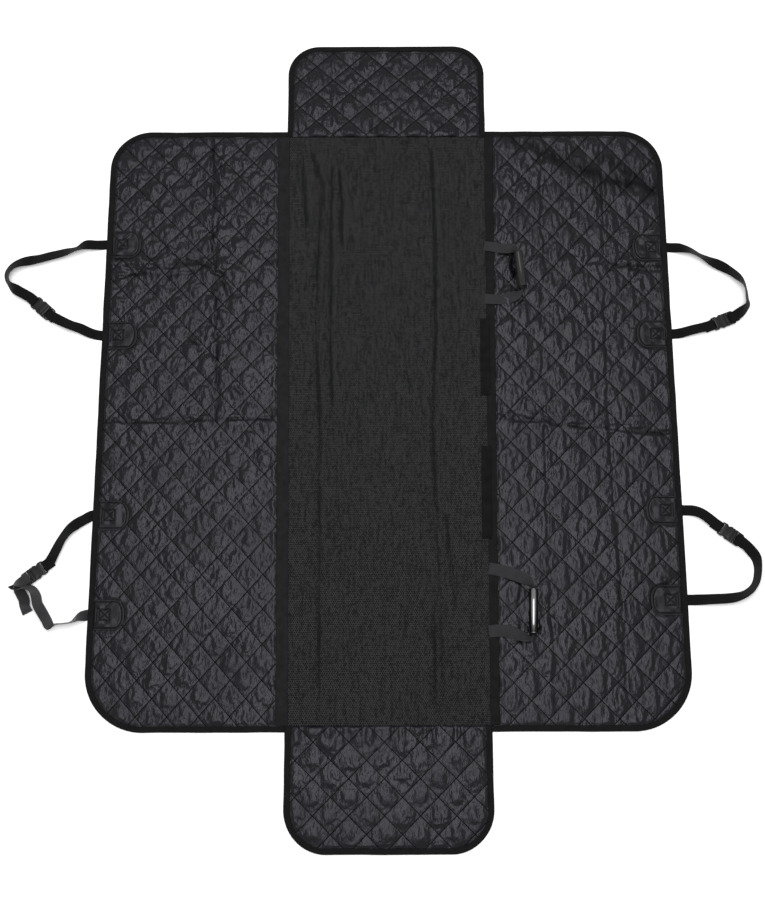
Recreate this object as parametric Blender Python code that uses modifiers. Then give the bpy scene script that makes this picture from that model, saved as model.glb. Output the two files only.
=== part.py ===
"""Hammock car seat cover, lying flat with the face up that carries the seat anchors.

Metres, +Z up. The origin is on the surface it lies on, under the middle of the mesh seat panel.
+X runs from the front headrests to the rear backrest, +Y across the car.
"""

from math import atan2, cos, floor, hypot, pi, radians, sin

import bmesh
import bpy
from mathutils import Matrix, Vector

# Overall outline
cover_length = 1.371
cover_width = 1.470
far_corner_radius = 0.102
near_corner_radius = 0.135
seat_panel_far_width = 0.511
seat_panel_near_width = 0.478

# Side flaps
flap_seam_inset = 0.014
far_flap_width = 0.494
far_flap_reach = 0.238
far_flap_radius = 0.080
near_flap_width = 0.465
near_flap_reach = 0.262
near_flap_radius = 0.096

# Quilting: a diamond's width and height, and the x and y of one crossing of its stitch lines
front_diamond = (0.0705, 0.0765, -0.3200, 0.1200)
rear_diamond = (0.0760, 0.0800, 0.2920, 0.0130)
far_flap_diamond = (0.0830, 0.0760, -0.0090, 0.8405)
near_flap_diamond = (0.0795, 0.0793, 0.0306, -0.8753)
seam_thickness = 0.0024
puff_height = 0.0042
puff_fade = 0.018
ridge_share = 0.42

# Mesh seat panel and its lengthwise folds
mesh_thickness = 0.0020
fold_half_width = 0.010
fold_height = 0.0045

# Edge binding, seam tapes and belt slot closures
clearance = 0.0003
binding_width = 0.014
binding_thickness = 0.0009
tape_thickness = 0.0012
front_tape_width = 0.028
rear_tape_width = 0.021
closure_width = 0.023
closure_lap = 0.008
closure_spans = ((0.048, 0.240), (-0.298, -0.077))

# Reinforcement patches and webbing
patch_size = 0.070
patch_radius = 0.030
webbing_width = 0.025
webbing_thickness = 0.0012
root_length = 0.045
front_roots = (0.434, 0.200, -0.241, -0.472)
rear_roots = (0.423, 0.200, -0.232, -0.441)

# Side release buckle
buckle_width = 0.033
shell_length = 0.0263
shell_thickness = 0.0094
shell_wall = 0.0016
arm_thickness = 0.0050
shoulder_length = 0.0062
slot_length = 0.0045
ladder_slot_length = 0.0070
bar_width = 0.0030
bar_thickness = 0.0036
rail_width = 0.0036
plate_thickness = 0.0050
buckle_lift = 0.0065

# Seat anchor tubes
tube_diameter = 0.018
tube_wall = 0.0016
tube_lip = 0.0012
tube_lift = 0.0170

mm = 0.001
arc_steps = 6
webbing_step = 0.012

half_length = cover_length / 2
half_width = cover_width / 2
flat_top = seam_thickness + clearance / 10
tape_bottom = seam_thickness + clearance
tape_top = tape_bottom + tape_thickness
webbing_slot = webbing_width + 6 * clearance

# Buckle places: the shell's mouth and the heading from shell to plug, in degrees
buckles = {
    "front_far": (-0.8264, 0.2636, -41.3),
    "front_near": (-0.8150, -0.3800, 216.7),
    "rear_far": (0.8147, 0.2334, 21.3),
    "rear_near": (0.7965, -0.2930, -35.9),
}

# Webbing routes outside the cover: x, y and z in millimetres, and the roll in degrees
routes = {
    "front_far_a": [(-713, 431, 6, 0), (-733, 430, 10, 12), (-755, 420, 10, 36), (-785, 411, 8, 26),
                    (-815, 403, 8, 16), (-850, 393, 9, 12), (-880, 387, 11, 24), (-904, 377, 13, 48),
                    (-919, 360, 14, 66), (-920, 341, 14, 82), (-910, 325, 13, 74), (-893, 313, 11, 30)],
    "front_far_b": [(-712, 205, 3, 0), (-738, 216, 7, 0), (-762, 224, 9, 8)],
    "front_near_a": [(-703, -251, 5, 0), (-720, -262, 8, 8), (-737, -276, 9, 22), (-753, -298, 9, 30),
                     (-764, -322, 9, 18)],
    "front_near_b": [(-697, -475, 5, 10), (-709, -481, 9, 45), (-723, -489, 13, 80),
                     (-739, -492, 13, 90), (-755, -494, 13, 90), (-769, -497, 13, 84),
                     (-776, -488, 12, 58), (-780, -475, 9, 20), (-787, -459, 8, 0),
                     (-795, -445, 9, 4), (-803, -430, 12, 26), (-815, -417, 18, 66),
                     (-832, -413, 21, 88), (-847, -417, 21, 94), (-857, -412, 19, 80)],
    "rear_far_a": [(715, 419, 6, 0), (743, 410, 10, -28), (764, 398, 10, -36), (792, 381, 9, -12),
                   (820, 367, 9, -4), (845, 349, 11, -20), (861, 329, 13, -58), (868, 308, 14, -64),
                   (869, 288, 14, -64), (870, 270, 13, -56)],
    "rear_far_b": [(709, 202, 3, 0), (733, 208, 7, 0)],
    "rear_near_a": [(709, -234, 5, 0), (728, -241, 8, 8)],
    "rear_near_b": [(713, -441, 3, 0), (742, -440, 6, -6), (772, -439, 9, -20), (795, -435, 12, -52),
                    (812, -429, 14, -88), (828, -420, 14, -120), (841, -404, 13, -145),
                    (847, -384, 11, -152), (849, -362, 10, -156), (845, -341, 9, -170)],
}
loose_end = [(-848, -412, 4, 0), (-844, -425, 4, 6), (-836, -437, 5, -14), (-834, -455, 5, 12),
             (-827, -470, 3, 0)]

# Anchor webbing: the same four numbers and the share of the full width that it is gathered to
anchors = {
    "far": [(238, 427, 4.8, 0, 1), (256, 424, 5.8, 0, 1), (277, 420, 9, 0, 1), (298, 417, 12, 0, 1),
            (311, 415, 15, 24, 0.9), (319.5, 411, 16.5, 58, 0.62), (323.2, 401.5, 17, 90, 0.48),
            (324, 392, 17, 90, 0.48), (330, 326, 17, 90, 0.48), (330.8, 316.5, 17, 90, 0.48),
            (328, 306, 16.5, 58, 0.62), (320, 298, 15, 24, 0.9), (304, 292, 12, 0, 1),
            (282, 288, 9, 0, 1), (258, 288, 5.8, 0, 1), (236, 290, 4.8, 0, 1)],
    "near": [(232, -367, 4.8, 0, 1), (251, -371, 5.8, 0, 1), (275, -378, 9, 0, 1),
             (300, -387, 12, 0, 1), (319, -396, 15, 20, 0.9), (329, -406, 16.5, 58, 0.62),
             (332, -418.5, 17, 90, 0.48), (331.7, -428, 17, 90, 0.48), (329.3, -507, 17, 90, 0.48),
             (329, -516.5, 17, 90, 0.48), (325, -527, 16.5, 58, 0.62), (315, -529, 14.5, 30, 0.85),
             (298, -521, 11, 10, 1), (275, -513, 9, 0, 1), (251, -510, 5.8, 0, 1),
             (229, -512, 4.8, 0, 1)],
}
tubes = {"far": ((323, 403), (331, 315)), "near": ((332, -417), (329, -518))}

# Lengthwise folds of the mesh: x and y in millimetres, and the share of the full height
seat_folds = (
    [(-188, 705, 0.6), (-151, 585, 1.0), (-162, 400, 1.0), (-164, 187, 0.9), (-154, -20, 0.7),
     (-152, -360, 0.8), (-150, -720, 0.5)],
    [(-112, 705, 0.0), (-128, 636, 0.7), (-130, 400, 1.0), (-131, 187, 0.8), (-122, -20, 0.1),
     (-118, -360, 0.0), (-116, -720, 0.0)],
    [(116, 705, 0.5), (121, 585, 0.7), (124, 400, 1.0), (122, 187, 0.9), (112, -20, 0.6),
     (123, -360, 0.9), (130, -720, 0.6)],
)

finishes = {
    "quilted_cloth": ((0.040, 0.040, 0.045), 0.62, 0.0),
    "mesh_cloth": ((0.030, 0.030, 0.032), 0.85, 0.0),
    "binding_tape": ((0.016, 0.016, 0.017), 0.80, 0.0),
    "webbing": ((0.018, 0.018, 0.019), 0.70, 0.0),
    "closure_tape": ((0.026, 0.026, 0.028), 0.90, 0.0),
    "buckle_plastic": ((0.020, 0.020, 0.021), 0.40, 0.0),
    "tube_plastic": ((0.022, 0.022, 0.023), 0.18, 0.0),
}


def clear_scene():
    for obj in list(bpy.data.objects):
        bpy.data.objects.remove(obj, do_unlink=True)


def new_collection(name, hidden=False):
    group = bpy.data.collections.new(name)
    bpy.context.scene.collection.children.link(group)
    group.hide_render = hidden
    return group


def finish(name):
    """The named Principled material, made once."""
    if name in bpy.data.materials:
        return bpy.data.materials[name]
    color, roughness, metallic = finishes[name]
    material = bpy.data.materials.new(name)
    material.use_nodes = True
    shader = material.node_tree.nodes["Principled BSDF"]
    shader.inputs["Base Color"].default_value = (*color, 1)
    shader.inputs["Roughness"].default_value = roughness
    shader.inputs["Metallic"].default_value = metallic
    return material


def add_object(name, data, group, finish_name=None):
    obj = bpy.data.objects.new(name, data)
    group.objects.link(obj)
    if finish_name:
        data.materials.append(finish(finish_name))
    if group is cutters:
        obj.hide_render = True
        obj.display_type = "WIRE"
    return obj


def as_mesh(obj):
    """The object with its curve or modifiers made a closed mesh."""
    bpy.context.view_layer.update()
    graph = bpy.context.evaluated_depsgraph_get()
    mesh = bpy.data.meshes.new_from_object(obj.evaluated_get(graph), depsgraph=graph)
    bm = bmesh.new()
    bm.from_mesh(mesh)
    bmesh.ops.remove_doubles(bm, verts=bm.verts, dist=1e-6)
    bmesh.ops.recalc_face_normals(bm, faces=bm.faces)
    bm.to_mesh(mesh)
    bm.free()
    name, group, placed = obj.name, obj.users_collection[0], obj.matrix_world.copy()
    bpy.data.objects.remove(obj)
    made = add_object(name, mesh, group)
    made.matrix_world = placed
    return made


def boolean(obj, operation, other):
    step = obj.modifiers.new(operation.lower(), "BOOLEAN")
    step.operation = operation
    step.object = other
    step.solver = "EXACT"


def box(name, low, high, group, finish_name=None):
    bm = bmesh.new()
    bmesh.ops.create_cube(bm, size=1)
    low, high = Vector(low), Vector(high)
    for vert in bm.verts:
        vert.co = [low[i] + (vert.co[i] + 0.5) * (high[i] - low[i]) for i in range(3)]
    mesh = bpy.data.meshes.new(name)
    bm.to_mesh(mesh)
    bm.free()
    return add_object(name, mesh, group, finish_name)


def plate(name, loops, bottom, top, group, finish_name=None):
    """A flat outline, with any further loops as holes, from bottom to top."""
    curve = bpy.data.curves.new(name, "CURVE")
    curve.dimensions = "2D"
    curve.fill_mode = "BOTH"
    curve.extrude = (top - bottom) / 2
    for loop in loops:
        spline = curve.splines.new("POLY")
        spline.points.add(len(loop) - 1)
        for point, (x, y) in zip(spline.points, loop):
            point.co = (x, y, 0, 1)
        spline.use_cyclic_u = True
    obj = add_object(name, curve, group, finish_name)
    obj.location.z = (top + bottom) / 2
    return as_mesh(obj)


def rounded_loop(corners, steps=arc_steps):
    """Points of a loop whose corners are (x, y, radius), a radius of 0 being sharp."""
    points = []
    for i, (x, y, radius) in enumerate(corners):
        if radius <= 0:
            points.append((x, y))
            continue
        corner = Vector((x, y))
        back = (Vector(corners[i - 1][:2]) - corner).normalized()
        on = (Vector(corners[(i + 1) % len(corners)][:2]) - corner).normalized()
        reach = radius * cos(back.angle(on) / 2) / sin(back.angle(on) / 2)
        centre = corner + (back + on).normalized() * radius / sin(back.angle(on) / 2)
        start, end = corner + back * reach - centre, corner + on * reach - centre
        first = atan2(start.y, start.x)
        turn = (atan2(end.y, end.x) - first + pi) % (2 * pi) - pi
        for step in range(steps + 1):
            angle = first + turn * step / steps
            points.append((centre.x + radius * cos(angle), centre.y + radius * sin(angle)))
    return points


def seam_x(y):
    """Half the seat panel's width at y, which is where the seam lies on either side."""
    share = (y + half_width) / cover_width
    return (seat_panel_near_width + share * (seat_panel_far_width - seat_panel_near_width)) / 2


def inside_distance(x, y, width, low, high, low_radius, high_radius):
    """How far a point lies inside a rounded box that is centred on X."""
    radius = high_radius if y > (low + high) / 2 else low_radius
    across = abs(x) - (width / 2 - radius)
    along = abs(y - (low + high) / 2) - ((high - low) / 2 - radius)
    outside = hypot(max(across, 0), max(along, 0)) + min(max(across, along), 0)
    return radius - outside


def patch_distance(x, y, side):
    """How far a point lies outside the nearest reinforcement patch of that side."""
    roots = front_roots if side < 0 else rear_roots
    edge = half_length - binding_width
    return min(
        hypot(max(edge - patch_size - side * x, 0), max(abs(y - root) - patch_size / 2, 0))
        for root in roots
    )


def quilting(name, diamond, middle, span, height):
    """A block of padding whose top is stitched in diamonds, each with a ridge along its height.

    height(x, y) is the share of the puff there, and span the block's half width and half length.
    """
    wide, tall, cross_x, cross_y = diamond
    reach = (span[0] + abs(middle[0] - cross_x)) / wide + (span[1] + abs(middle[1] - cross_y)) / tall
    cells = 2 * int(reach + 2)
    bm = bmesh.new()
    bmesh.ops.create_grid(bm, x_segments=cells, y_segments=cells, size=cells / 2)

    def place(i, j):
        return cross_x + (i - j) * wide / 2, cross_y + (i + j) * tall / 2

    def outside(face):
        centre = face.calc_center_median()
        x, y = place(centre.x, centre.y)
        return abs(x - middle[0]) > span[0] + wide / 2 or abs(y - middle[1]) > span[1] + tall / 2

    bmesh.ops.delete(bm, geom=[face for face in bm.faces if outside(face)], context="FACES")
    ridges = []
    for face in list(bm.faces):
        along = sorted(face.verts, key=lambda vert: vert.co.x + vert.co.y)
        ridges.append(bmesh.utils.face_split(face, along[0], along[-1])[1].edge)
    cut = bmesh.ops.subdivide_edges(bm, edges=ridges, cuts=2)
    raised = {part for part in cut["geom_inner"] if isinstance(part, bmesh.types.BMVert)}
    for vert in bm.verts:
        i, j = vert.co.x, vert.co.y
        if vert in raised:
            i, j = (floor(k) + 0.5 + 3 * ridge_share * (k - floor(k) - 0.5) for k in (i, j))
        x, y = place(i, j)
        vert.co = (x, y, seam_thickness + (puff_height * height(x, y) if vert in raised else 0))
    bmesh.ops.triangulate(bm, faces=bm.faces)
    lower = bmesh.ops.extrude_face_region(bm, geom=list(bm.faces))["geom"]
    for part in lower:
        if isinstance(part, bmesh.types.BMVert):
            part.co.z = -puff_height
    bmesh.ops.recalc_face_normals(bm, faces=bm.faces)
    mesh = bpy.data.meshes.new(name)
    bm.to_mesh(mesh)
    bm.free()
    return add_object(name, mesh, cover, "quilted_cloth")


def share_of_puff(distance):
    t = min(max(distance / puff_fade, 0), 1)
    return t * t * (3 - 2 * t) if t > 0.2 else 0


def stepped_block(name, core, tongue):
    """What a bound panel is cut to: its core to the floor, and a thin tongue inside the binding."""
    above = 4 * puff_height
    tool = plate(name, [core], 0, above, cutters)
    rim = plate(name + "_tongue", [tongue], binding_thickness + clearance, flat_top, cutters)
    boolean(tool, "UNION", rim)
    return tool


def binding_profile():
    """The binding's folded section: X is the way in from the edge, Y is up."""
    inner = binding_thickness
    gap_top = tape_bottom
    top = gap_top + binding_thickness
    round_off = 0.6 * binding_thickness
    return [(0, 0), (binding_width, 0), (binding_width, inner), (inner, inner), (inner, gap_top),
            (binding_width, gap_top), (binding_width, top), (round_off, top), (0, top - round_off)]


def binding(name, path):
    """Folded tape carried along the edge of a panel, which lies to the left of the path."""
    profile = bpy.data.curves.new(name + "_section", "CURVE")
    profile.dimensions = "2D"
    spline = profile.splines.new("POLY")
    section = binding_profile()
    spline.points.add(len(section) - 1)
    for point, (x, y) in zip(spline.points, section):
        point.co = (-x, y, 0, 1)
    spline.use_cyclic_u = True
    guide = add_object(name + "_section", profile, cutters)
    curve = bpy.data.curves.new(name, "CURVE")
    curve.dimensions = "2D"
    curve.bevel_mode = "OBJECT"
    curve.bevel_object = guide
    curve.use_fill_caps = True
    spline = curve.splines.new("POLY")
    spline.points.add(len(path) - 1)
    for point, (x, y) in zip(spline.points, path):
        point.co = (x, y, 0, 1)
    obj = add_object(name, curve, cover, "binding_tape")
    return as_mesh(obj)


def panel_loop(side, inset, near_end, far_end):
    """A quilted panel's outline, anticlockwise, from and to the given distances off the middle."""
    x, y = half_length - inset, half_width - inset
    far, near = far_corner_radius - inset, near_corner_radius - inset
    corners = [(near_end, -y, 0), (x, -y, near), (x, y, far), (far_end, y, 0)]
    if side < 0:
        corners = [(-x, y, radius) for x, y, radius in reversed(corners)]
    return rounded_loop(corners)


def root_cutters(side):
    """Slots under the edge for the ends of the headrest webbing."""
    made = []
    for number, root in enumerate(front_roots if side < 0 else rear_roots):
        inner, outer = side * (half_length - root_length - mm), side * (half_length + root_length)
        low = (min(inner, outer), root - webbing_slot / 2, -mm)
        high = (max(inner, outer), root + webbing_slot / 2, webbing_thickness + 1.5 * clearance)
        made.append(box(f"root_slot_{'front' if side < 0 else 'rear'}_{number}", low, high, cutters))
    return made


def quilted_panel(name, side, diamond, tape_width):
    tongue_inset = binding_thickness + clearance
    core_inset = binding_width + clearance
    inner = min(seat_panel_far_width, seat_panel_near_width) / 2 - puff_fade
    tool = stepped_block(name + "_block", panel_loop(side, core_inset, inner, inner),
                         panel_loop(side, tongue_inset, inner, inner))
    past = half_width + mm
    seat = [(end * (seam_x(y) + clearance / 2), y)
            for end, y in ((-1, -past), (1, -past), (1, past), (-1, past))]
    seat_cutter = plate(name + "_seat", [seat], -mm, puff_fade, cutters)
    middle = (side * (half_length + inner) / 2, 0)

    def height(x, y):
        edge = inside_distance(x, y, cover_length, -half_width, half_width,
                               near_corner_radius, far_corner_radius) - binding_width
        seam = side * x - seam_x(y) - tape_width / 2
        return share_of_puff(min(edge, seam, patch_distance(x, y, side)))

    above = 4 * puff_height
    pressed = [plate(name + "_pressed", [tape_loop(side, tape_width + 4 * clearance, half_width)],
                     flat_top, above, cutters)]
    for root in front_roots if side < 0 else rear_roots:
        pressed.append(plate(name + "_pressed", [patch_loop(side, root, 2 * clearance)],
                             flat_top, above, cutters))
    slots = root_cutters(side)
    for cut in [seat_cutter, *pressed, *slots]:
        boolean(tool, "DIFFERENCE", cut)
    panel = quilting(name, diamond, middle, ((half_length - inner) / 2, half_width), height)
    boolean(panel, "INTERSECT", tool)
    tape = binding(name + "_binding", panel_loop(side, 0, near_flap_width / 2 + clearance,
                                                 far_flap_width / 2 + clearance))
    for slot in slots:
        boolean(tape, "DIFFERENCE", slot)


def flap_loop(side, width, reach, radius, inset):
    x, y = width / 2 - inset, half_width + reach - inset
    seam = half_width - flap_seam_inset + clearance / 2
    corners = [(x, seam, 0), (x, y, radius - inset), (-x, y, radius - inset), (-x, seam, 0)]
    if side < 0:
        corners = [(-x, -y, radius) for x, y, radius in corners]
    return rounded_loop(corners)


def flap(name, side, width, reach, radius, diamond):
    tongue_inset = binding_thickness + clearance
    core_inset = binding_width + clearance
    tool = stepped_block(name + "_block", flap_loop(side, width, reach, radius, core_inset),
                         flap_loop(side, width, reach, radius, tongue_inset))
    seam = half_width - flap_seam_inset
    end = half_width + reach
    middle = (0, side * (seam + end) / 2)

    def height(x, y):
        edge = inside_distance(x, side * y, width, -end, end, radius, radius) - binding_width
        return share_of_puff(min(edge, side * y - seam))

    panel = quilting(name, diamond, middle, (width / 2, (end - seam) / 2), height)
    boolean(panel, "INTERSECT", tool)
    binding(name + "_binding", flap_loop(side, width, reach, radius, 0))


def curve_through(points, t):
    """A centripetal curve through number tuples, at t spans from the first."""
    last = len(points) - 1
    i = min(int(t), last - 1)
    a, b = Vector(points[i]), Vector(points[i + 1])
    before = Vector(points[i - 1]) if i else 2 * a - b
    after = Vector(points[i + 2]) if i + 2 <= last else 2 * b - a
    knots = [0.0]
    for start, stop in ((before, a), (a, b), (b, after)):
        knots.append(knots[-1] + Vector((stop - start)[:3]).length ** 0.5)
    u = knots[1] + (t - i) * (knots[2] - knots[1])

    def mix(p, q, low, high):
        return p * ((high - u) / (high - low)) + q * ((u - low) / (high - low))

    first = mix(before, a, knots[0], knots[1])
    second = mix(a, b, knots[1], knots[2])
    third = mix(b, after, knots[2], knots[3])
    return mix(mix(first, second, knots[0], knots[2]), mix(second, third, knots[1], knots[3]),
               knots[1], knots[2])


def seat_panel(name):
    """The mesh panel: columns follow the folds, and each fold is a low ridge."""
    columns = 2 + 3 * len(seat_folds)
    rows = 14
    end = half_width - flap_seam_inset - clearance / 2
    bm = bmesh.new()
    bmesh.ops.create_grid(bm, x_segments=columns - 1, y_segments=rows, size=0.5)
    for vert in bm.verts:
        column = round((vert.co.x + 0.5) * (columns - 1))
        y = 2 * vert.co.y * end
        edge = seam_x(y) - clearance / 2
        z = mesh_thickness
        if column == 0 or column == columns - 1:
            x = edge if column else -edge
        else:
            fold, place = seat_folds[(column - 1) // 3], (column - 1) % 3 - 1
            spans = len(fold) - 1
            x, share = fold_at(fold, y / mm)
            x = x * mm + place * fold_half_width
            if place == 0:
                z += fold_height * share
        vert.co = (x, y, z)
    lower = bmesh.ops.extrude_face_region(bm, geom=list(bm.faces))["geom"]
    for part in lower:
        if isinstance(part, bmesh.types.BMVert):
            part.co.z = 0
    bmesh.ops.triangulate(bm, faces=bm.faces)
    bmesh.ops.recalc_face_normals(bm, faces=bm.faces)
    mesh = bpy.data.meshes.new(name)
    bm.to_mesh(mesh)
    bm.free()
    add_object(name, mesh, cover, "mesh_cloth")


def fold_at(fold, y):
    """A fold's x and share of its height at y, read between its points."""
    for (x0, y0, share0), (x1, y1, share1) in zip(fold, fold[1:]):
        if y >= y1 or (x1, y1, share1) == fold[-1]:
            t = min(max((y0 - y) / (y0 - y1), 0), 1)
            t = t * t * (3 - 2 * t)
            return x0 + (x1 - x0) * t, share0 + (share1 - share0) * t


def tape_loop(side, width, end):
    return [(side * seam_x(y) + edge * width / 2, y)
            for y, edge in ((-end, -1), (-end, 1), (end, 1), (end, -1))]


def seam_tape(name, side, width):
    end = half_width - binding_width - clearance
    plate(name, [tape_loop(side, width, end)], tape_bottom, tape_top, cover, "binding_tape")


def belt_closure(name, span):
    """A hook strip along the rear seam tape: it lies on the mesh and laps over the tape."""
    low = mesh_thickness + clearance
    high = tape_top + clearance
    rise = 1.7 * mm
    section = [(closure_lap - closure_width, low), (-rise - clearance, low), (-clearance, high),
               (closure_lap, high), (closure_lap, high + tape_thickness),
               (-clearance - mm, high + tape_thickness), (-rise - clearance - mm, low + tape_thickness),
               (closure_lap - closure_width, low + tape_thickness)]
    strip = plate(name, [section], span[0], span[1], cover, "closure_tape")
    strip.data.transform(strip.matrix_world)
    strip.matrix_world = Matrix()
    for vert in strip.data.vertices:
        x, z, y = vert.co
        vert.co = (x + seam_x(y) - rear_tape_width / 2, y, z)
    strip.data.flip_normals()


def patch_loop(side, root, margin=0):
    edge = side * (half_length - binding_width - clearance + margin)
    inner = side * (half_length - binding_width - patch_size - margin)
    low, high = root - patch_size / 2 - margin, root + patch_size / 2 + margin
    corners = [(edge, low, 0), (inner, low, patch_radius), (inner, high, patch_radius), (edge, high, 0)]
    return rounded_loop(corners, 4)


def reinforcement_patch(name, side, root):
    plate(name, [patch_loop(side, root)], tape_bottom, tape_top, cover, "quilted_cloth")


def laid(points):
    """Stations of flat webbing: place, direction across it and share of its width."""
    stations = []
    for i, point in enumerate(points):
        before, after = points[max(i - 1, 0)], points[min(i + 1, len(points) - 1)]
        ahead = (Vector(after[:3]) - Vector(before[:3])).normalized()
        level = Vector((-ahead.y, ahead.x, 0)).normalized()
        across = Matrix.Rotation(radians(point[3]), 3, ahead) @ level
        share = point[4] if len(point) > 4 else 1
        stations.append((*(Vector(point[:3]) * mm), *across, share))
    return stations


def untwisted(stations):
    """The same stations, each with its direction across on the side that the last one's is."""
    made = [Vector(stations[0])]
    for station in stations[1:]:
        station = Vector(station)
        across = Vector(station[3:6])
        if across.dot(Vector(made[-1][3:6])) < 0:
            station[3:6] = -across
        made.append(station)
    return made


def webbing(name, stations):
    """A flat strap through the stations, never lower than the surface it lies on."""
    stations = untwisted(stations)
    middle = [curve_through(stations, 0)]
    for i, (start, stop) in enumerate(zip(stations, stations[1:])):
        parts = max(round((Vector(stop[:3]) - Vector(start[:3])).length / webbing_step), 1)
        middle += [curve_through(stations, i + (part + 1) / parts) for part in range(parts)]
    steps = len(middle) - 1
    bm = bmesh.new()
    bmesh.ops.create_grid(bm, x_segments=steps, y_segments=1, size=0.5)
    for vert in bm.verts:
        step, edge = round((vert.co.x + 0.5) * steps), 2 * vert.co.y
        station = middle[step]
        ahead = (middle[min(step + 1, steps)] - middle[max(step - 1, 0)])[:3]
        ahead = Vector(ahead).normalized()
        across = Vector(station[3:6])
        across = (across - ahead * across.dot(ahead)).normalized()
        place = Vector(station[:3])
        lowest = (abs(across.z) * webbing_width * station[6]
                  + abs(ahead.cross(across).z) * webbing_thickness) / 2
        place.z = max(place.z, lowest + clearance / 3)
        vert.co = place + across * edge * webbing_width * station[6] / 2
    mesh = bpy.data.meshes.new(name)
    bm.to_mesh(mesh)
    bm.free()
    obj = add_object(name, mesh, cover, "webbing")
    wall = obj.modifiers.new("wall", "SOLIDIFY")
    wall.thickness = webbing_thickness
    wall.offset = 0
    wall.use_even_offset = True


def root_points(side, root):
    """The sewn end of a headrest strap, flat under the panel's edge."""
    reaches = (half_length - root_length, half_length - binding_width, half_length + 2 * mm)
    return [(side * reach / mm, root / mm, 0, 0) for reach in reaches]


def buckle_frame(place):
    x, y, heading = buckles[place]
    return Matrix.Translation((x, y, buckle_lift)) @ Matrix.Rotation(radians(heading), 4, "Z")


def around_bar(place, bar_x, outward, tail):
    """Stations of webbing that comes in over a buckle's bar, turns round it and goes out below."""
    turn = hypot(bar_width, bar_thickness) / 2 + clearance * 1.4 + webbing_thickness / 2
    tilt = radians(45)
    shape = [(13 * mm, turn), (4 * mm, turn), (-turn * sin(tilt), turn * cos(tilt)), (-turn, 0),
             (-turn * sin(tilt), -turn * cos(tilt)), (4 * mm, -turn)]
    shape += [(reach, -turn) for reach in tail]
    frame = buckle_frame(place)
    across = frame.to_3x3() @ Vector((0, outward, 0))
    return [(*(frame @ Vector((bar_x + outward * reach, 0, height))), *across, 1)
            for reach, height in shape]


def rear_bar_x():
    return -shell_length - slot_length - bar_width / 2


def ladder_bar_x():
    return clearance + shoulder_length + slot_length + bar_width / 2


def buckle_socket(name, place):
    """The shell: a hollow body with open sides and a webbing bar behind it."""
    body = box(name, (-shell_length, -buckle_width / 2, -shell_thickness / 2),
               (0, buckle_width / 2, shell_thickness / 2), cover, "buckle_plastic")
    edges = body.modifiers.new("rounded", "BEVEL")
    edges.width = shell_wall
    edges.segments = 1
    body = as_mesh(body)
    half = buckle_width / 2
    end = rear_bar_x() - bar_width / 2
    outline = rounded_loop([(end, -half, 3 * mm), (-shell_length + 3 * mm, -half, 0),
                            (-shell_length + 3 * mm, half, 0), (end, half, 3 * mm)])
    slot = [(x, y) for x, y in ((-shell_length - slot_length, -half + rail_width),
                                (-shell_length, -half + rail_width),
                                (-shell_length, half - rail_width),
                                (-shell_length - slot_length, half - rail_width))]
    loop = plate(name + "_loop", [outline, slot], -bar_thickness / 2, bar_thickness / 2, cutters)
    cavity_height = arm_thickness + 2 * clearance
    cavity = box(name + "_cavity", (-shell_length + 3 * shell_wall, -half + shell_wall, -cavity_height / 2),
                 (mm, half - shell_wall, cavity_height / 2), cutters)
    windows = box(name + "_windows", (-0.72 * shell_length, -half - mm, -cavity_height / 2),
                  (-0.24 * shell_length, half + mm, cavity_height / 2), cutters)
    boolean(body, "UNION", loop)
    boolean(body, "DIFFERENCE", cavity)
    boolean(body, "DIFFERENCE", windows)
    for piece in (body, loop, cavity, windows):
        piece.matrix_world = buckle_frame(place) @ piece.matrix_world


def buckle_plug(name, place):
    """The plug: two springing arms with catches, a middle guide, and a ladder for the webbing."""
    half = buckle_width / 2
    foot, front = clearance, clearance + shoulder_length
    within = shoulder_length / 3
    bar, end = ladder_bar_x(), ladder_bar_x() + bar_width * 1.5 + ladder_slot_length
    tip = -shell_length + 3 * shell_wall + 2 * mm
    catch = -0.24 * shell_length - clearance
    inner = half - shell_wall - clearance
    root = foot + within
    upper = [(root, inner - 5.0 * mm), (tip + 6 * mm, inner - 5.4 * mm), (tip, inner - 5.2 * mm),
             (tip, inner - 2.6 * mm), (catch - 5 * mm, half + 0.6 * mm), (catch, half + 0.6 * mm),
             (catch, inner - 1.6 * mm), (root, inner - 1.4 * mm), (root, half - 0.5 * mm),
             (front + within, half), (end - 2 * mm, half), (end, half - 2 * mm)]
    guide = [(root, -2.4 * mm), (tip + 4 * mm, -2.4 * mm), (tip + 2 * mm, 0), (tip + 4 * mm, 2.4 * mm),
             (root, 2.4 * mm)]
    lower = [(x, -y) for x, y in reversed(upper)]
    inside = half - rail_width
    slots = [[(low, -side), (high, -side), (high, side), (low, side)]
             for low, high, side in ((front - within, bar - bar_width / 2, inside),
                                     (bar + bar_width / 2, end - bar_width, inside - 0.3 * mm))]
    body = plate(name, [lower + guide + upper, *slots], -bar_thickness / 2, bar_thickness / 2, cover,
                 "buckle_plastic")
    shoulder = box(name + "_shoulder", (foot, -half, -shell_thickness / 2),
                   (front, half, shell_thickness / 2), cutters)
    edges = shoulder.modifiers.new("rounded", "BEVEL")
    edges.width = shell_wall
    edges.segments = 1
    boolean(body, "UNION", shoulder)
    for piece in (body, shoulder):
        piece.matrix_world = buckle_frame(place) @ piece.matrix_world


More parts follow.
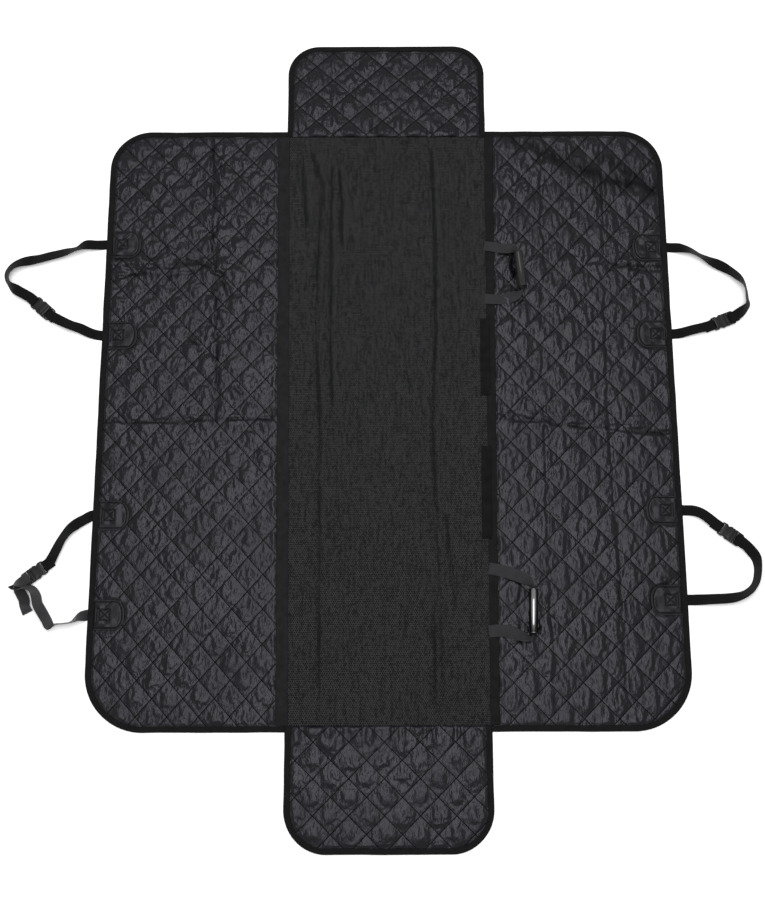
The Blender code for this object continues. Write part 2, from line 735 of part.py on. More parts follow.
def anchor_tube(name, ends):
    """A plain tube with rolled lips, turned about its length."""
    start, stop = (Vector((*end, tube_lift / mm)) * mm for end in ends)
    length = (stop - start).length
    outer = tube_diameter / 2
    inner = outer - tube_wall
    lip = outer + tube_lip / 2
    section = [(inner, length), (outer, length), (lip, length - tube_lip), (outer, length - 3 * tube_lip),
               (outer, 3 * tube_lip), (lip, tube_lip), (outer, 0), (inner, 0)]
    mesh = bpy.data.meshes.new(name)
    mesh.from_pydata([(x, 0, z) for x, z in section], [(i, (i + 1) % len(section)) for i in range(len(section))], [])
    obj = add_object(name, mesh, cover, "tube_plastic")
    spin = obj.modifiers.new("turned", "SCREW")
    spin.steps = spin.render_steps = 12
    spin.use_merge_vertices = True
    spin.merge_threshold = 0.00001
    spin.use_smooth_shade = True
    turn = (stop - start).to_track_quat("Z", "X").to_matrix().to_4x4()
    obj.matrix_world = Matrix.Translation(start) @ turn


clear_scene()
cover = new_collection("hammock_seat_cover")
cutters = new_collection("cutters", hidden=True)

quilted_panel("front_quilted_panel", -1, front_diamond, front_tape_width)
quilted_panel("rear_quilted_panel", 1, rear_diamond, rear_tape_width)
seat_panel("mesh_seat_panel")
flap("far_side_flap", 1, far_flap_width, far_flap_reach, far_flap_radius, far_flap_diamond)
flap("near_side_flap", -1, near_flap_width, near_flap_reach, near_flap_radius, near_flap_diamond)
seam_tape("front_seam_tape", -1, front_tape_width)
seam_tape("rear_seam_tape", 1, rear_tape_width)
for number, span in enumerate(closure_spans, 1):
    belt_closure(f"belt_slot_closure_{number}", span)
for side, end, roots in ((-1, "front", front_roots), (1, "rear", rear_roots)):
    for number, root in enumerate(roots, 1):
        reinforcement_patch(f"{end}_patch_{number}", side, root)
    for place, pair in (("far", roots[:2]), ("near", roots[2:])):
        loop = f"{end}_{place}"
        socket_first = loop != "rear_far"
        for letter, root in zip("ab", pair):
            on_socket = (letter == "a") == socket_first
            bar_x = rear_bar_x() if on_socket else ladder_bar_x()
            way = -1 if on_socket else 1
            tail = (16 * mm, 22 * mm)
            hand = laid(root_points(side, root) + routes[f"{loop}_{letter}"])
            if (loop, letter) == ("front_near", "b"):
                wrap = around_bar(loop, bar_x, way, (11 * mm,)) + laid(loose_end)
            else:
                wrap = around_bar(loop, bar_x, way, tail)
            webbing(f"{loop}_strap_{letter}", hand + wrap)
        buckle_socket(f"{loop}_buckle_socket", loop)
        buckle_plug(f"{loop}_buckle_plug", loop)
for place, ends in tubes.items():
    anchor_tube(f"{place}_anchor_tube", ends)
    webbing(f"{place}_anchor_webbing", laid(anchors[place]))
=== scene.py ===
import math

import bmesh
import bpy
import numpy as np
from mathutils import Matrix, Vector


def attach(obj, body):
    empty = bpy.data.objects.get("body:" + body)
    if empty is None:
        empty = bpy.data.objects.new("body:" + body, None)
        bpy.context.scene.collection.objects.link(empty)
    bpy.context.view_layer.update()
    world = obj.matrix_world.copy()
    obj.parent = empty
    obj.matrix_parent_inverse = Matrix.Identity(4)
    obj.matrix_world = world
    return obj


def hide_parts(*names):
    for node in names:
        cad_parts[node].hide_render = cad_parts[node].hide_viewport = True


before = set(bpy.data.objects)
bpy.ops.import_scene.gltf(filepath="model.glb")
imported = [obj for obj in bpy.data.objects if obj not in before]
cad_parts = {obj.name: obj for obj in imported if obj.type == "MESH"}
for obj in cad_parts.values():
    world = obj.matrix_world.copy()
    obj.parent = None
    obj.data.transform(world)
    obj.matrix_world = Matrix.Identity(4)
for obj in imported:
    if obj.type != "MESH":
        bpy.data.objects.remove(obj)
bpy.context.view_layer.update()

mm = 0.001

# The cover's outline, the same numbers as the solids have
cover = {
    "halfLength": 0.6855,
    "halfWidth": 0.735,
    "farRadius": 0.102,
    "nearRadius": 0.135,
    "seatFar": 0.511,      # width of the mesh seat panel at the far end
    "seatNear": 0.478,     # and at the near end
    "flapSeam": 0.721,
    "binding": 0.014,
    "tongue": 0.0045,      # how far inside the edge the cloth ends, within the binding
}


# 3t^2 - 2t^3 between 0 and 1
def smoothStep(t):
    t = np.clip(t, 0, 1)
    return t * t * (3 - 2 * t)


# Random heights from -1 to 1 on a square lattice, joined smoothly
def valueNoise(x, y, size, seed):
    table = np.random.default_rng(seed).uniform(-1, 1, (256, 256))
    u, v = np.asarray(x) / size, np.asarray(y) / size
    i, j = np.floor(u).astype(int), np.floor(v).astype(int)
    s, t = smoothStep(u - i), smoothStep(v - j)
    i, j, i1, j1 = i % 256, j % 256, (i + 1) % 256, (j + 1) % 256
    near = table[i, j] * (1 - s) + table[i1, j] * s
    far = table[i, j1] * (1 - s) + table[i1, j1] * s
    return near * (1 - t) + far * t


# Distance from each point to a polyline, and how far along it the nearest place is
def pathDistance(x, y, path):
    path = np.asarray(path, float)
    best = np.full(np.shape(x), 1e9)
    place = np.zeros(np.shape(x))
    for k, (a, b) in enumerate(zip(path, path[1:])):
        run = b - a
        t = np.clip(((x - a[0]) * run[0] + (y - a[1]) * run[1]) / (run @ run), 0, 1)
        d = np.hypot(x - a[0] - t * run[0], y - a[1] - t * run[1])
        nearer = d < best
        best = np.where(nearer, d, best)
        place = np.where(nearer, (k + t) / (len(path) - 1), place)
    return best, place


# Half width of the seat panel at y
def seamX(y):
    share = (y + cover["halfWidth"]) / (2 * cover["halfWidth"])
    return (cover["seatNear"] + share * (cover["seatFar"] - cover["seatNear"])) / 2


# Distance inside a box with rounded corners
def insideBox(x, y, halfX, lowY, highY, lowRadius, highRadius):
    middle = (lowY + highY) / 2
    radius = np.where(y > middle, highRadius, lowRadius)
    across = np.abs(x) - (halfX - radius)
    along = np.abs(y - middle) - ((highY - lowY) / 2 - radius)
    outside = np.hypot(np.maximum(across, 0), np.maximum(along, 0))
    return radius - outside - np.minimum(np.maximum(across, along), 0)


# Distance inside the outline of the two long panels
def insideCover(x, y):
    return insideBox(x, y, cover["halfLength"], -cover["halfWidth"], cover["halfWidth"],
                     cover["nearRadius"], cover["farRadius"])


# Points through (x, y, radius) corners, a radius of 0 being an end or a sharp turn
def roundedPath(corners, step=0.004):
    points = []
    for k, (x, y, radius) in enumerate(corners):
        corner = np.array([x, y])
        if radius <= 0:
            points.append(corner[None])
            continue
        back = np.array(corners[k - 1][:2]) - corner
        ahead = np.array(corners[(k + 1) % len(corners)][:2]) - corner
        back, ahead = back / np.hypot(*back), ahead / np.hypot(*ahead)
        half = math.acos(np.clip(back @ ahead, -1, 1)) / 2
        centre = corner + (back + ahead) / np.hypot(*(back + ahead)) * radius / math.sin(half)
        start = corner + back * radius / math.tan(half) - centre
        end = corner + ahead * radius / math.tan(half) - centre
        first = math.atan2(start[1], start[0])
        turn = (math.atan2(end[1], end[0]) - first + math.pi) % (2 * math.pi) - math.pi
        angle = first + turn * np.linspace(0, 1, max(int(abs(turn) * radius / step), 6))
        points.append(centre + radius * np.stack([np.cos(angle), np.sin(angle)], 1))
    return resample(np.concatenate(points), step)


# Length gone along a polyline at each of its points
def lengthGone(points):
    return np.concatenate([[0], np.cumsum(np.linalg.norm(np.diff(points, axis=0), axis=1))])


# The same polyline with even steps
def resample(points, step):
    points = np.asarray(points, float)
    gone = lengthGone(points)
    even = np.linspace(0, gone[-1], max(int(gone[-1] / step), 2) + 1)
    return np.stack([np.interp(even, gone, points[:, k]) for k in range(points.shape[1])], 1)


# The same vectors, each with a length of one
def unit(vectors):
    return vectors / np.linalg.norm(vectors, axis=1)[:, None]


# exp(-(distance / width)^2)
def bell(distance, width):
    return np.exp(-(distance / width) ** 2)


# Quads of a grid of points stored row by row
def gridFaces(rows, columns, first=0, flip=False, closedColumns=False):
    i, j = np.meshgrid(np.arange(columns if closedColumns else columns - 1), np.arange(rows - 1) * columns)
    right = (i + 1) % columns
    faces = np.stack([j + i, j + right, j + columns + right, j + columns + i], -1).reshape(-1, 4) + first
    return faces[:, ::-1] if flip else faces


# Faces of rings of points, one ring after the other, with one face over each end
def tubeFaces(rings, count):
    faces = gridFaces(rings, count, closedColumns=True).tolist()
    return faces + [list(range(count))[::-1], [(rings - 1) * count + k for k in range(count)]]


# Turns all the faces of a mesh outward
def faceOutward(mesh):
    form = bmesh.new()
    form.from_mesh(mesh)
    bmesh.ops.recalc_face_normals(form, faces=form.faces)
    form.to_mesh(mesh)
    form.free()


# A new object in the scene
def addObject(name, data):
    made = bpy.data.objects.new(name, data)
    bpy.context.scene.collection.objects.link(made)
    return made


# A mesh object from arrays of points, of faces and of one UV place for each point
def meshPiece(name, points, faces, material, uv=None, outward=False):
    mesh = bpy.data.meshes.new(name)
    mesh.from_pydata(np.asarray(points).reshape(-1, 3).tolist(), [], [list(face) for face in faces])
    mesh.polygons.foreach_set("use_smooth", np.full(len(mesh.polygons), True))
    if uv is not None:
        corner = np.empty(len(mesh.loops), int)
        mesh.loops.foreach_get("vertex_index", corner)
        layer = mesh.uv_layers.new(name="cloth")
        layer.data.foreach_set("uv", np.asarray(uv, float).reshape(-1, 2)[corner].ravel())
    mesh.materials.append(material)
    if outward:
        faceOutward(mesh)
    piece = addObject(name, mesh)
    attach(piece, "root")
    return piece


# Painted shade, one value for each point, which the cloth materials read: dark painted into folds, creases and
# sewn grooves, and on the seat painted light where the value is below 0
def paintedShadeMask(piece, values):
    layer = piece.data.attributes.new("paintedShade", "FLOAT", "POINT")
    layer.data.foreach_set("value", np.asarray(values, np.float32).ravel())


# A sheet with a top grid, a bottom grid below it and a rim between them
def closedSheet(name, top, bottom, uv, material):
    rows, columns = top.shape[:2]
    size = rows * columns
    points = np.concatenate([top.reshape(-1, 3), bottom.reshape(-1, 3)])
    ring = np.concatenate([
        np.arange(columns), np.arange(1, rows) * columns + columns - 1,
        (rows - 1) * columns + np.arange(columns - 2, -1, -1), np.arange(rows - 2, 0, -1) * columns])
    after = np.roll(ring, -1)
    rim = np.stack([after, ring, ring + size, after + size], 1)
    faces = np.concatenate([gridFaces(rows, columns), gridFaces(rows, columns, size, True), rim])
    return meshPiece(name, points, faces, material, np.concatenate([uv.reshape(-1, 2)] * 2))


# A shader node with its settings; values are set on its inputs, and sockets are linked to them
def addNode(tree, kind, values={}, **settings):
    node = tree.nodes.new("ShaderNode" + kind)
    for label, setting in settings.items():
        setattr(node, label, setting)
    for label, value in values.items():
        if isinstance(value, bpy.types.NodeSocket):
            tree.links.new(value, node.inputs[label])
        elif value is not None:
            node.inputs[label].default_value = value
    return node


# A math node on sockets or plain numbers; returns its output
def mathNode(tree, operation, a, b=None):
    return addNode(tree, "Math", {0: a, 1: b}, operation=operation).outputs[0]


# A smooth step of value from low to high; returns its output
def rampNode(tree, value, low, high, fromLow=0.0, toHigh=1.0):
    values = {"Value": value, "From Min": low, "From Max": high, "To Min": fromLow, "To Max": toHigh}
    return addNode(tree, "MapRange", values, interpolation_type="SMOOTHSTEP").outputs[0]


# Noise at a place vector; returns its 0 to 1 output
def noiseNode(tree, place, scale, detail=2.0, roughness=0.5, distortion=0.0):
    return addNode(tree, "TexNoise", {"Vector": place, "Scale": scale, "Detail": detail,
                                      "Roughness": roughness, "Distortion": distortion}).outputs["Fac"]


# A bump from a height, on top of another normal where one is given; returns the normal
def bumpNode(tree, height, distance, normal=None):
    values = {"Height": height, "Distance": distance, "Strength": 1.0, "Normal": normal}
    return addNode(tree, "Bump", values).outputs["Normal"]


# A colour between dark and light by factor
def shadeNode(tree, factor, dark, light):
    return addNode(tree, "Mix", {0: factor, 6: (*dark, 1), 7: (*light, 1)}, data_type="RGBA").outputs[2]


# An empty node group with a vector and a number as inputs; returns it, its inputs' and its outputs' sockets
def nodeGroup(name, vector, number, outputs):
    group = bpy.data.node_groups.new(name, "ShaderNodeTree")
    sockets = [(vector, "INPUT", "Vector"), (number, "INPUT", "Float")]
    for label, side, kind in sockets + [(label, "OUTPUT", "Float") for label in outputs]:
        group.interface.new_socket(label, in_out=side, socket_type="NodeSocket" + kind)
    return group, group.nodes.new("NodeGroupInput").outputs, group.nodes.new("NodeGroupOutput").inputs


# Quilting lines from diamond coordinates: a groove mask and a thread mask
def makeStitchGroup():
    group, start, end = nodeGroup("quiltStitch", "Diamond", "Reach", ("Groove", "Thread"))
    x, y, z = addNode(group, "SeparateXYZ", {0: start["Diamond"]}).outputs
    aways, threads = [], []
    for across, along in (("ADD", "SUBTRACT"), ("SUBTRACT", "ADD")):
        turned = mathNode(group, "FRACT", mathNode(group, "ADD", mathNode(group, across, x, y), 0.5))
        aways.append(mathNode(group, "ABSOLUTE", mathNode(group, "SUBTRACT", turned, 0.5)))
        stitches = mathNode(group, "MULTIPLY", mathNode(group, along, x, y), 16.0)
        dash = rampNode(group, mathNode(group, "PINGPONG", stitches, 0.5), 0.08, 0.16)
        threads.append(mathNode(group, "MULTIPLY", rampNode(group, aways[-1], 0.004, 0.011, 1.0, 0.0), dash))
    groove = mathNode(group, "DIVIDE", mathNode(group, "MINIMUM", *aways), start["Reach"])
    group.links.new(rampNode(group, groove, 0.0, 1.0, 1.0, 0.0), end["Groove"])
    group.links.new(mathNode(group, "MAXIMUM", *threads), end["Thread"])
    return group


# Plain weave from a place in metres: a height for bump and a light-dark value
def makeWeaveGroup():
    group, start, end = nodeGroup("plainWeave", "Place", "Pitch", ("Height", "Shade"))
    waves = []
    for place in list(addNode(group, "SeparateXYZ", {0: start["Place"]}).outputs)[:2]:
        turns = mathNode(group, "DIVIDE", place, start["Pitch"])
        waves.append(mathNode(group, "SINE", mathNode(group, "MULTIPLY", turns, 2 * math.pi)))
    product = mathNode(group, "MULTIPLY", *waves)
    group.links.new(product, end["Height"])
    group.links.new(rampNode(group, product, -0.8, 0.8), end["Shade"])
    return group


# Fine crumples of coated cloth: sharp ridges at two sizes from a place in metres
def makeCrinkleGroup():
    group, start, end = nodeGroup("crinkle", "Place", "Scale", ("Height",))
    place = addNode(group, "VectorMath", {0: start["Place"], "Scale": start["Scale"]}, operation="SCALE")
    heights = []
    for scale, weight in ((1.0, 1.0), (2.3, 0.45)):
        noise = noiseNode(group, place.outputs[0], scale, 1.0, 0.5, 0.6)
        ridge = mathNode(group, "ABSOLUTE", mathNode(group, "SUBTRACT", noise, 0.5))
        heights.append(mathNode(group, "MULTIPLY", ridge, -weight))
    group.links.new(mathNode(group, "ADD", *heights), end["Height"])
    return group


stitchGroup, weaveGroup, crinkleGroup = makeStitchGroup(), makeWeaveGroup(), makeCrinkleGroup()


# A material with the colour, roughness and specular of a look; returns it, its tree and its shader's inputs
def newMaterial(name, look):
    material = bpy.data.materials.new(name)
    material.use_nodes = True
    shader = material.node_tree.nodes["Principled BSDF"].inputs
    shader["Base Color"].default_value = (*look["color"], 1)
    shader["Roughness"].default_value = look["roughness"]
    shader["Specular IOR Level"].default_value = look["specular"]
    return material, material.node_tree, shader


# The look's colour times a share
def shaded(look, share):
    return tuple(share * c for c in look["color"])


# Thin coated cloth with sewn lines, fine crumples and a close weave, with painted shade in the stitch grooves
# and along the folds
def quiltMaterial(name, look):
    material, tree, shader = newMaterial(name, look)
    shader["Specular Tint"].default_value = (*look["sheen"], 1)
    uv = addNode(tree, "UVMap", uv_map="cloth").outputs[0]
    place = addNode(tree, "TexCoord").outputs["Object"]
    stitch = addNode(tree, "Group", {"Diamond": uv, "Reach": look["groove"]}, node_tree=stitchGroup).outputs
    upright = addNode(tree, "Mapping", {"Vector": place, "Scale": (1.0, look["crinkleStretch"], 1.0)})
    crinkle = addNode(tree, "Group", {"Place": upright.outputs[0], "Scale": look["crinkleScale"]},
                      node_tree=crinkleGroup)
    rough = rampNode(tree, noiseNode(tree, place, 9.0, 2.0), 0.35, 0.65, -0.05, 0.06)
    tree.links.new(mathNode(tree, "ADD", rough, look["roughness"]), shader["Roughness"])
    paintedShade = addNode(tree, "Attribute", attribute_name="paintedShade").outputs["Fac"]
    # painted shade: darker colour and less specular in the stitch grooves and along the folds; the thread mask
    # is the thread's own dark colour
    dark = mathNode(tree, "MULTIPLY", stitch["Groove"], look["paintedGrooveShade"])
    dark = mathNode(tree, "MAXIMUM", dark, stitch["Thread"])
    dark = mathNode(tree, "MAXIMUM", dark, mathNode(tree, "MULTIPLY", paintedShade, look["paintedShadeDark"]))
    tree.links.new(shadeNode(tree, dark, look["color"], shaded(look, 0.12)), shader["Base Color"])
    light = mathNode(tree, "SUBTRACT", 1.0, mathNode(tree, "MULTIPLY", dark, 0.85))
    tree.links.new(mathNode(tree, "MULTIPLY", light, look["specular"]), shader["Specular IOR Level"])
    normal = bumpNode(tree, crinkle.outputs["Height"], look["crinkle"])
    sunk = mathNode(tree, "MULTIPLY", stitch["Groove"], -1.0)
    tree.links.new(bumpNode(tree, sunk, 0.0012, normal), shader["Normal"])
    return material


# Woven tape or webbing: rows across and a soft worn shade
def wovenMaterial(name, look):
    material, tree, shader = newMaterial(name, look)
    uv = addNode(tree, "UVMap", uv_map="cloth").outputs[0]
    weave = addNode(tree, "Group", {"Place": uv, "Pitch": look["pitch"]}, node_tree=weaveGroup).outputs
    patchy = noiseNode(tree, addNode(tree, "TexCoord").outputs["Object"], 60.0, 3.0)
    shade = mathNode(tree, "MULTIPLY", mathNode(tree, "ADD", weave["Shade"], 0.6), patchy)
    color = shadeNode(tree, shade, shaded(look, 0.6), shaded(look, look["contrast"]))
    tree.links.new(color, shader["Base Color"])
    tree.links.new(bumpNode(tree, weave["Height"], look["relief"]), shader["Normal"])
    return material


# Knitted mesh: rows of small holes, with yarn that varies along the length, and painted shade and light along
# its folds
def knitMaterial(name, look):
    material, tree, shader = newMaterial(name, look)
    place = addNode(tree, "TexCoord").outputs["Object"]
    x, y, z = addNode(tree, "SeparateXYZ", {0: place}).outputs
    x, y = mathNode(tree, "DIVIDE", x, look["holeX"]), mathNode(tree, "DIVIDE", y, look["holeY"])
    shift = mathNode(tree, "MULTIPLY", mathNode(tree, "PINGPONG", mathNode(tree, "FLOOR", y), 1.0), 0.5)
    squares = []
    for turns in (mathNode(tree, "ADD", x, shift), y):
        off = mathNode(tree, "SUBTRACT", mathNode(tree, "FRACT", turns), 0.5)
        squares.append(mathNode(tree, "MULTIPLY", off, off))
    yarn = rampNode(tree, mathNode(tree, "SQRT", mathNode(tree, "ADD", *squares)), 0.22, 0.40)
    stretched = addNode(tree, "Mapping", {"Vector": place, "Scale": (1.0, 0.12, 1.0)}).outputs[0]
    streak = rampNode(tree, noiseNode(tree, stretched, 240.0, 2.0, 0.6), 0.3, 0.7, 0.45, 1.3)
    grain = rampNode(tree, noiseNode(tree, place, 230.0, 2.0, 0.6), 0.3, 0.7, 0.25, 1.5)
    # painted shade beside each fold of the seat and painted light on its crest
    paintedShade = addNode(tree, "Attribute", attribute_name="paintedShade").outputs["Fac"]
    lit = mathNode(tree, "SUBTRACT", 1.0, mathNode(tree, "MULTIPLY", paintedShade, 0.85))
    shade = mathNode(tree, "MULTIPLY", yarn, mathNode(tree, "MULTIPLY", streak, grain))
    shade = mathNode(tree, "MULTIPLY", shade, lit)
    color = shadeNode(tree, shade, shaded(look, 0.12), shaded(look, look["contrast"]))
    tree.links.new(color, shader["Base Color"])
    tree.links.new(bumpNode(tree, shade, look["relief"]), shader["Normal"])
    return material


# Moulded plastic or metal with a fine grain, and with painted shade on the sides that turn away from the camera
# where the look has an edge colour
def hardMaterial(name, look):
    material, tree, shader = newMaterial(name, look)
    grain = noiseNode(tree, addNode(tree, "TexCoord").outputs["Object"], 900.0, 2.0)
    tree.links.new(bumpNode(tree, grain, look["grain"]), shader["Normal"])
    shader["Metallic"].default_value = look.get("metal", 0.0)
    # painted shade: towards the edge colour where the surface turns away from the camera
    if "edge" in look:  # dark where the surface turns away
        turned = rampNode(tree, addNode(tree, "LayerWeight").outputs["Facing"], 0.04, 0.22)
        tree.links.new(shadeNode(tree, turned, look["color"], look["edge"]), shader["Base Color"])
    return material


clothSettings = {
    "vertex_group_mass": "stitches", "quality": 4, "mass": 0.1, "tension_stiffness": 15,
    "compression_stiffness": 15, "shear_stiffness": 5, "tension_damping": 5, "compression_damping": 5,
    "air_damping": 2, "use_pressure": True,
}


# Cloth a little larger than its stitch lines allow: how far each point moves as the lines are drawn in
def swellQuilting(name, quilt, a, b, stitched):
    wide, tall = quilt["diamond"]
    random = np.random.default_rng(quilt["seed"])
    rough = quilt["rough"] * (valueNoise(a * wide, b * tall * 0.4, 0.008, quilt["seed"])
                              + 0.3 * random.standard_normal(a.shape))
    z = quilt["height"] * pillow(a, b) + np.where(stitched, 0, 0.0015 + rough)
    sewn = np.stack([a * wide, b * tall, z], -1)
    loose = sewn * (1 + quilt["fullness"][0], 1 + quilt["fullness"][1], 1)
    mesh = bpy.data.meshes.new(name + "Cloth")
    mesh.from_pydata(loose.reshape(-1, 3).tolist(), [], gridFaces(*a.shape).tolist())
    sheet = addObject(name + "Cloth", mesh)
    sheet.shape_key_add(name="loose")
    drawn = sheet.shape_key_add(name="sewn")
    drawn.data.foreach_set("co", sewn.ravel())
    for frameNumber, value in ((1, 0), (8, 1)):
        drawn.value = value
        drawn.keyframe_insert("value", frame=frameNumber)
    sheet.vertex_groups.new(name="stitches").add(np.nonzero(stitched.ravel())[0].tolist(), 1.0, "REPLACE")
    cloth = sheet.modifiers.new("cloth", "CLOTH")
    for label, value in clothSettings.items():
        setattr(cloth.settings, label, value)
    cloth.settings.bending_stiffness = quilt["bending"]
    cloth.settings.uniform_pressure_force = quilt["pressure"]
    cloth.settings.effector_weights.gravity = 0
    cloth.collision_settings.use_collision = False
    cloth.point_cache.frame_end = quilt["frames"]
    for step in range(1, quilt["frames"] + 1):
        bpy.context.scene.frame_set(step)
    swollen = sheet.evaluated_get(bpy.context.evaluated_depsgraph_get()).to_mesh()
    made = np.empty(a.size * 3, np.float32)
    swollen.vertices.foreach_get("co", made)
    bpy.data.objects.remove(sheet)
    bpy.context.scene.frame_set(1)
    return made.reshape(*a.shape, 3).astype(float) - sewn * (1, 1, 0)


# |sin pi(a+b) sin pi(a-b)|^0.7, which is 0 on the stitch lines and 1 in the middle of each diamond
def pillow(a, b):
    return np.abs(np.sin(math.pi * (a + b)) * np.sin(math.pi * (a - b))) ** 0.7


# A stitched top over the lattice a, b, mapped to the cover by place, and closed by a flat underside.
# height(x, y) is the share of the puff there, and keep(x, y) says where the cloth is.
def quiltedPiece(name, quilt, place, height, keep, material, seam=None):
    n = quilt["perDiamond"]
    (lowA, highA), (lowB, highB) = np.round(np.array(quilt["cells"]) * n).astype(int)
    i, j = np.meshgrid(np.arange(lowA, highA + 1), np.arange(lowB, highB + 1))
    a, b = i / n, j / n
    shift = swellQuilting(name, quilt, a, b, ((i + j) % n == 0) | ((i - j) % n == 0))
    x, y = place(a, b)
    share = height(x, y)
    z = np.clip(shift[..., 2], *quilt["puffs"]) * share
    x, y = x + shift[..., 0] * share, y + shift[..., 1] * share
    # a crease is height * exp(-(distance / width)^2), uneven along its path, with painted shade along its
    # middle, dark in patches
    paintedShade = np.zeros(x.shape)
    for path, tall, wide, seed, *shadow in quilt["creases"]:
        dark, darkWide = shadow + [0, 0.0040][len(shadow):]
        away = pathDistance(x, y, np.array(path) * mm)[0]
        z = z + share * tall * (0.6 + 0.6 * valueNoise(x, y, 0.022, seed)) * bell(away, wide)
        uneven = smoothStep(0.72 + 0.6 * valueNoise(x, y, 0.026, seed + 40))
        paintedShade = np.maximum(paintedShade, share * dark * uneven * bell(away, darkWide))
    # a crumpled band is height * (1 - 2 * |noise|) * exp(-(distance / width)^2)
    for path, tall, wide, size, seed, *stretch in quilt["crumples"]:
        path = np.array(path) * mm
        run = (path[-1] - path[0]) / np.hypot(*(path[-1] - path[0]))
        u, v = x * run[0] + y * run[1], y * run[0] - x * run[1]
        alongShare, acrossShare = stretch or (1.0, 3.0)
        ridge = 1 - np.abs(valueNoise(u * alongShare, v * acrossShare, size, seed)) * 2
        z = z + share * tall * ridge * bell(pathDistance(x, y, path)[0], wide)
    top = np.stack([x, y, quilt["level"] + np.maximum(z, -0.0004)], -1).reshape(-1, 3)
    faces = gridFaces(*x.shape)
    middle = top[faces].mean(1)
    used, faces = np.unique(faces[keep(middle[:, 0], middle[:, 1])], return_inverse=True)
    uv = np.stack([a, b], -1).reshape(-1, 2)[used]
    piece = meshPiece(name, top[used], faces.reshape(-1, 4), material, uv)
    paintedShadeMask(piece, paintedShade.ravel()[used])
    closeBelow(piece, quilt["under"], seam)
    return piece


# Trims to a straight seam, adds a side wall round the open edge and one flat face under the whole piece
def closeBelow(piece, level, seam=None):
    form = bmesh.new()
    form.from_mesh(piece.data)
    if seam is not None:
        parts = form.verts[:] + form.edges[:] + form.faces[:]
        bmesh.ops.bisect_plane(form, geom=parts, dist=1e-6, plane_co=(0, seam, 0), plane_no=(0, seam, 0),
                               clear_inner=True)
    edges = [edge for edge in form.edges if edge.is_boundary]
    made = bmesh.ops.extrude_edge_only(form, edges=edges)["geom"]
    lower = [part for part in made if isinstance(part, bmesh.types.BMVert)]
    for vert in lower:
        vert.co.z = level
    rim = [part for part in made if isinstance(part, bmesh.types.BMEdge) and part.is_boundary]
    bmesh.ops.contextual_create(form, geom=rim)
    bmesh.ops.recalc_face_normals(form, faces=form.faces)
    for face in form.faces:
        if len(face.verts) > 4:
            face.smooth = False
    form.to_mesh(piece.data)
    form.free()


patch = {
    "size": 0.070, "radius": 0.030, "box": 0.024, "boxInset": 0.012, "groove": 0.0012, "outline": 0.0042,
    "puff": 0.0034, "depth": 0.0022, "pucker": 0.0030,
    "level": 0.0034, "under": 0.0027,  # heights of the cloth's face before it puffs and of its underside
    "gap": 0.0006,                     # between the patch and the binding
    "upright": [(0.0065, -0.015), (0.0065, 0.014), (0.011, 0.014)],  # the seam along the patch's outer side
    "look": {"color": (0.0085, 0.0083, 0.0100), "roughness": 0.30, "specular": 0.5, "groove": 0.015,
             "paintedGrooveShade": 0.0, "paintedShadeDark": 0.6, "crinkle": 0.0006, "crinkleScale": 80.0,
             "crinkleStretch": 1.0, "sheen": (0.93, 0.90, 1.0)},
}
roots = {"front": (0.434, 0.200, -0.241, -0.472), "rear": (0.423, 0.200, -0.232, -0.441)}


# 1 in the open padding, 0 under the binding, the seam tape and the patches
def panelHeight(side, tapeHalf, fade=0.006):
    def height(x, y):
        edge = insideCover(x, y) - cover["binding"] + 0.001
        reach = np.minimum(edge, side * x - seamX(y) - tapeHalf)
        across = cover["halfLength"] - cover["binding"] - patch["size"] - side * x + patch["radius"]
        for root in roots["front" if side < 0 else "rear"]:
            along = np.abs(y - root) - patch["size"] / 2 + patch["radius"]
            reach = np.minimum(reach, np.hypot(np.maximum(across, 0), np.maximum(along, 0)) - patch["radius"])
        return smoothStep(reach / fade)
    return height


# Where a long panel has cloth: inside its binding and beyond the seam
def panelKeep(side):
    return lambda x, y: (insideCover(x, y) > cover["tongue"]) & (side * x > seamX(y) + 0.0022)


# x and y of diamond coordinates: the rows close up towards the far end, the columns lean
def frontPlace(a, b):
    first, pitch, closing = frontQuilt["rows"]
    y = (first + pitch * b - closing * b ** 2) * mm
    leaned = frontQuilt["columnZero"] - frontQuilt["lean"] * y / cover["halfWidth"]
    return leaned + a * frontQuilt["diamond"][0], y


# x and y of diamond coordinates: the columns spread towards the near end
def rearPlace(a, b):
    first, pitch = rearQuilt["rows"]
    middle, half, spread = rearQuilt["columns"]
    start, run = rearQuilt["spreads"]
    y = first + b * pitch
    half = half + (start - y) / run * spread
    return middle + (2 * a - 5) * half, y


# What the four quilted pieces share
quilting = {
    "look": {"color": (0.0076, 0.0074, 0.0100), "roughness": 0.28, "specular": 0.60, "groove": 0.02,
             "paintedGrooveShade": 0.35, "paintedShadeDark": 0.92, "crinkle": 0.0022, "crinkleScale": 90.0,
             "crinkleStretch": 0.5, "sheen": (0.93, 0.90, 1.0)},
    "perDiamond": 22, "rough": 0.0005, "pressure": 1.6, "bending": 0.2, "frames": 14, "fill": 0.25,
    "level": 0.0024, "under": 0.0014,  # heights of the stitch lines and of the underside
    "puffs": (-0.0003, 0.0080),        # the lowest and highest place of the blown-up cloth
}
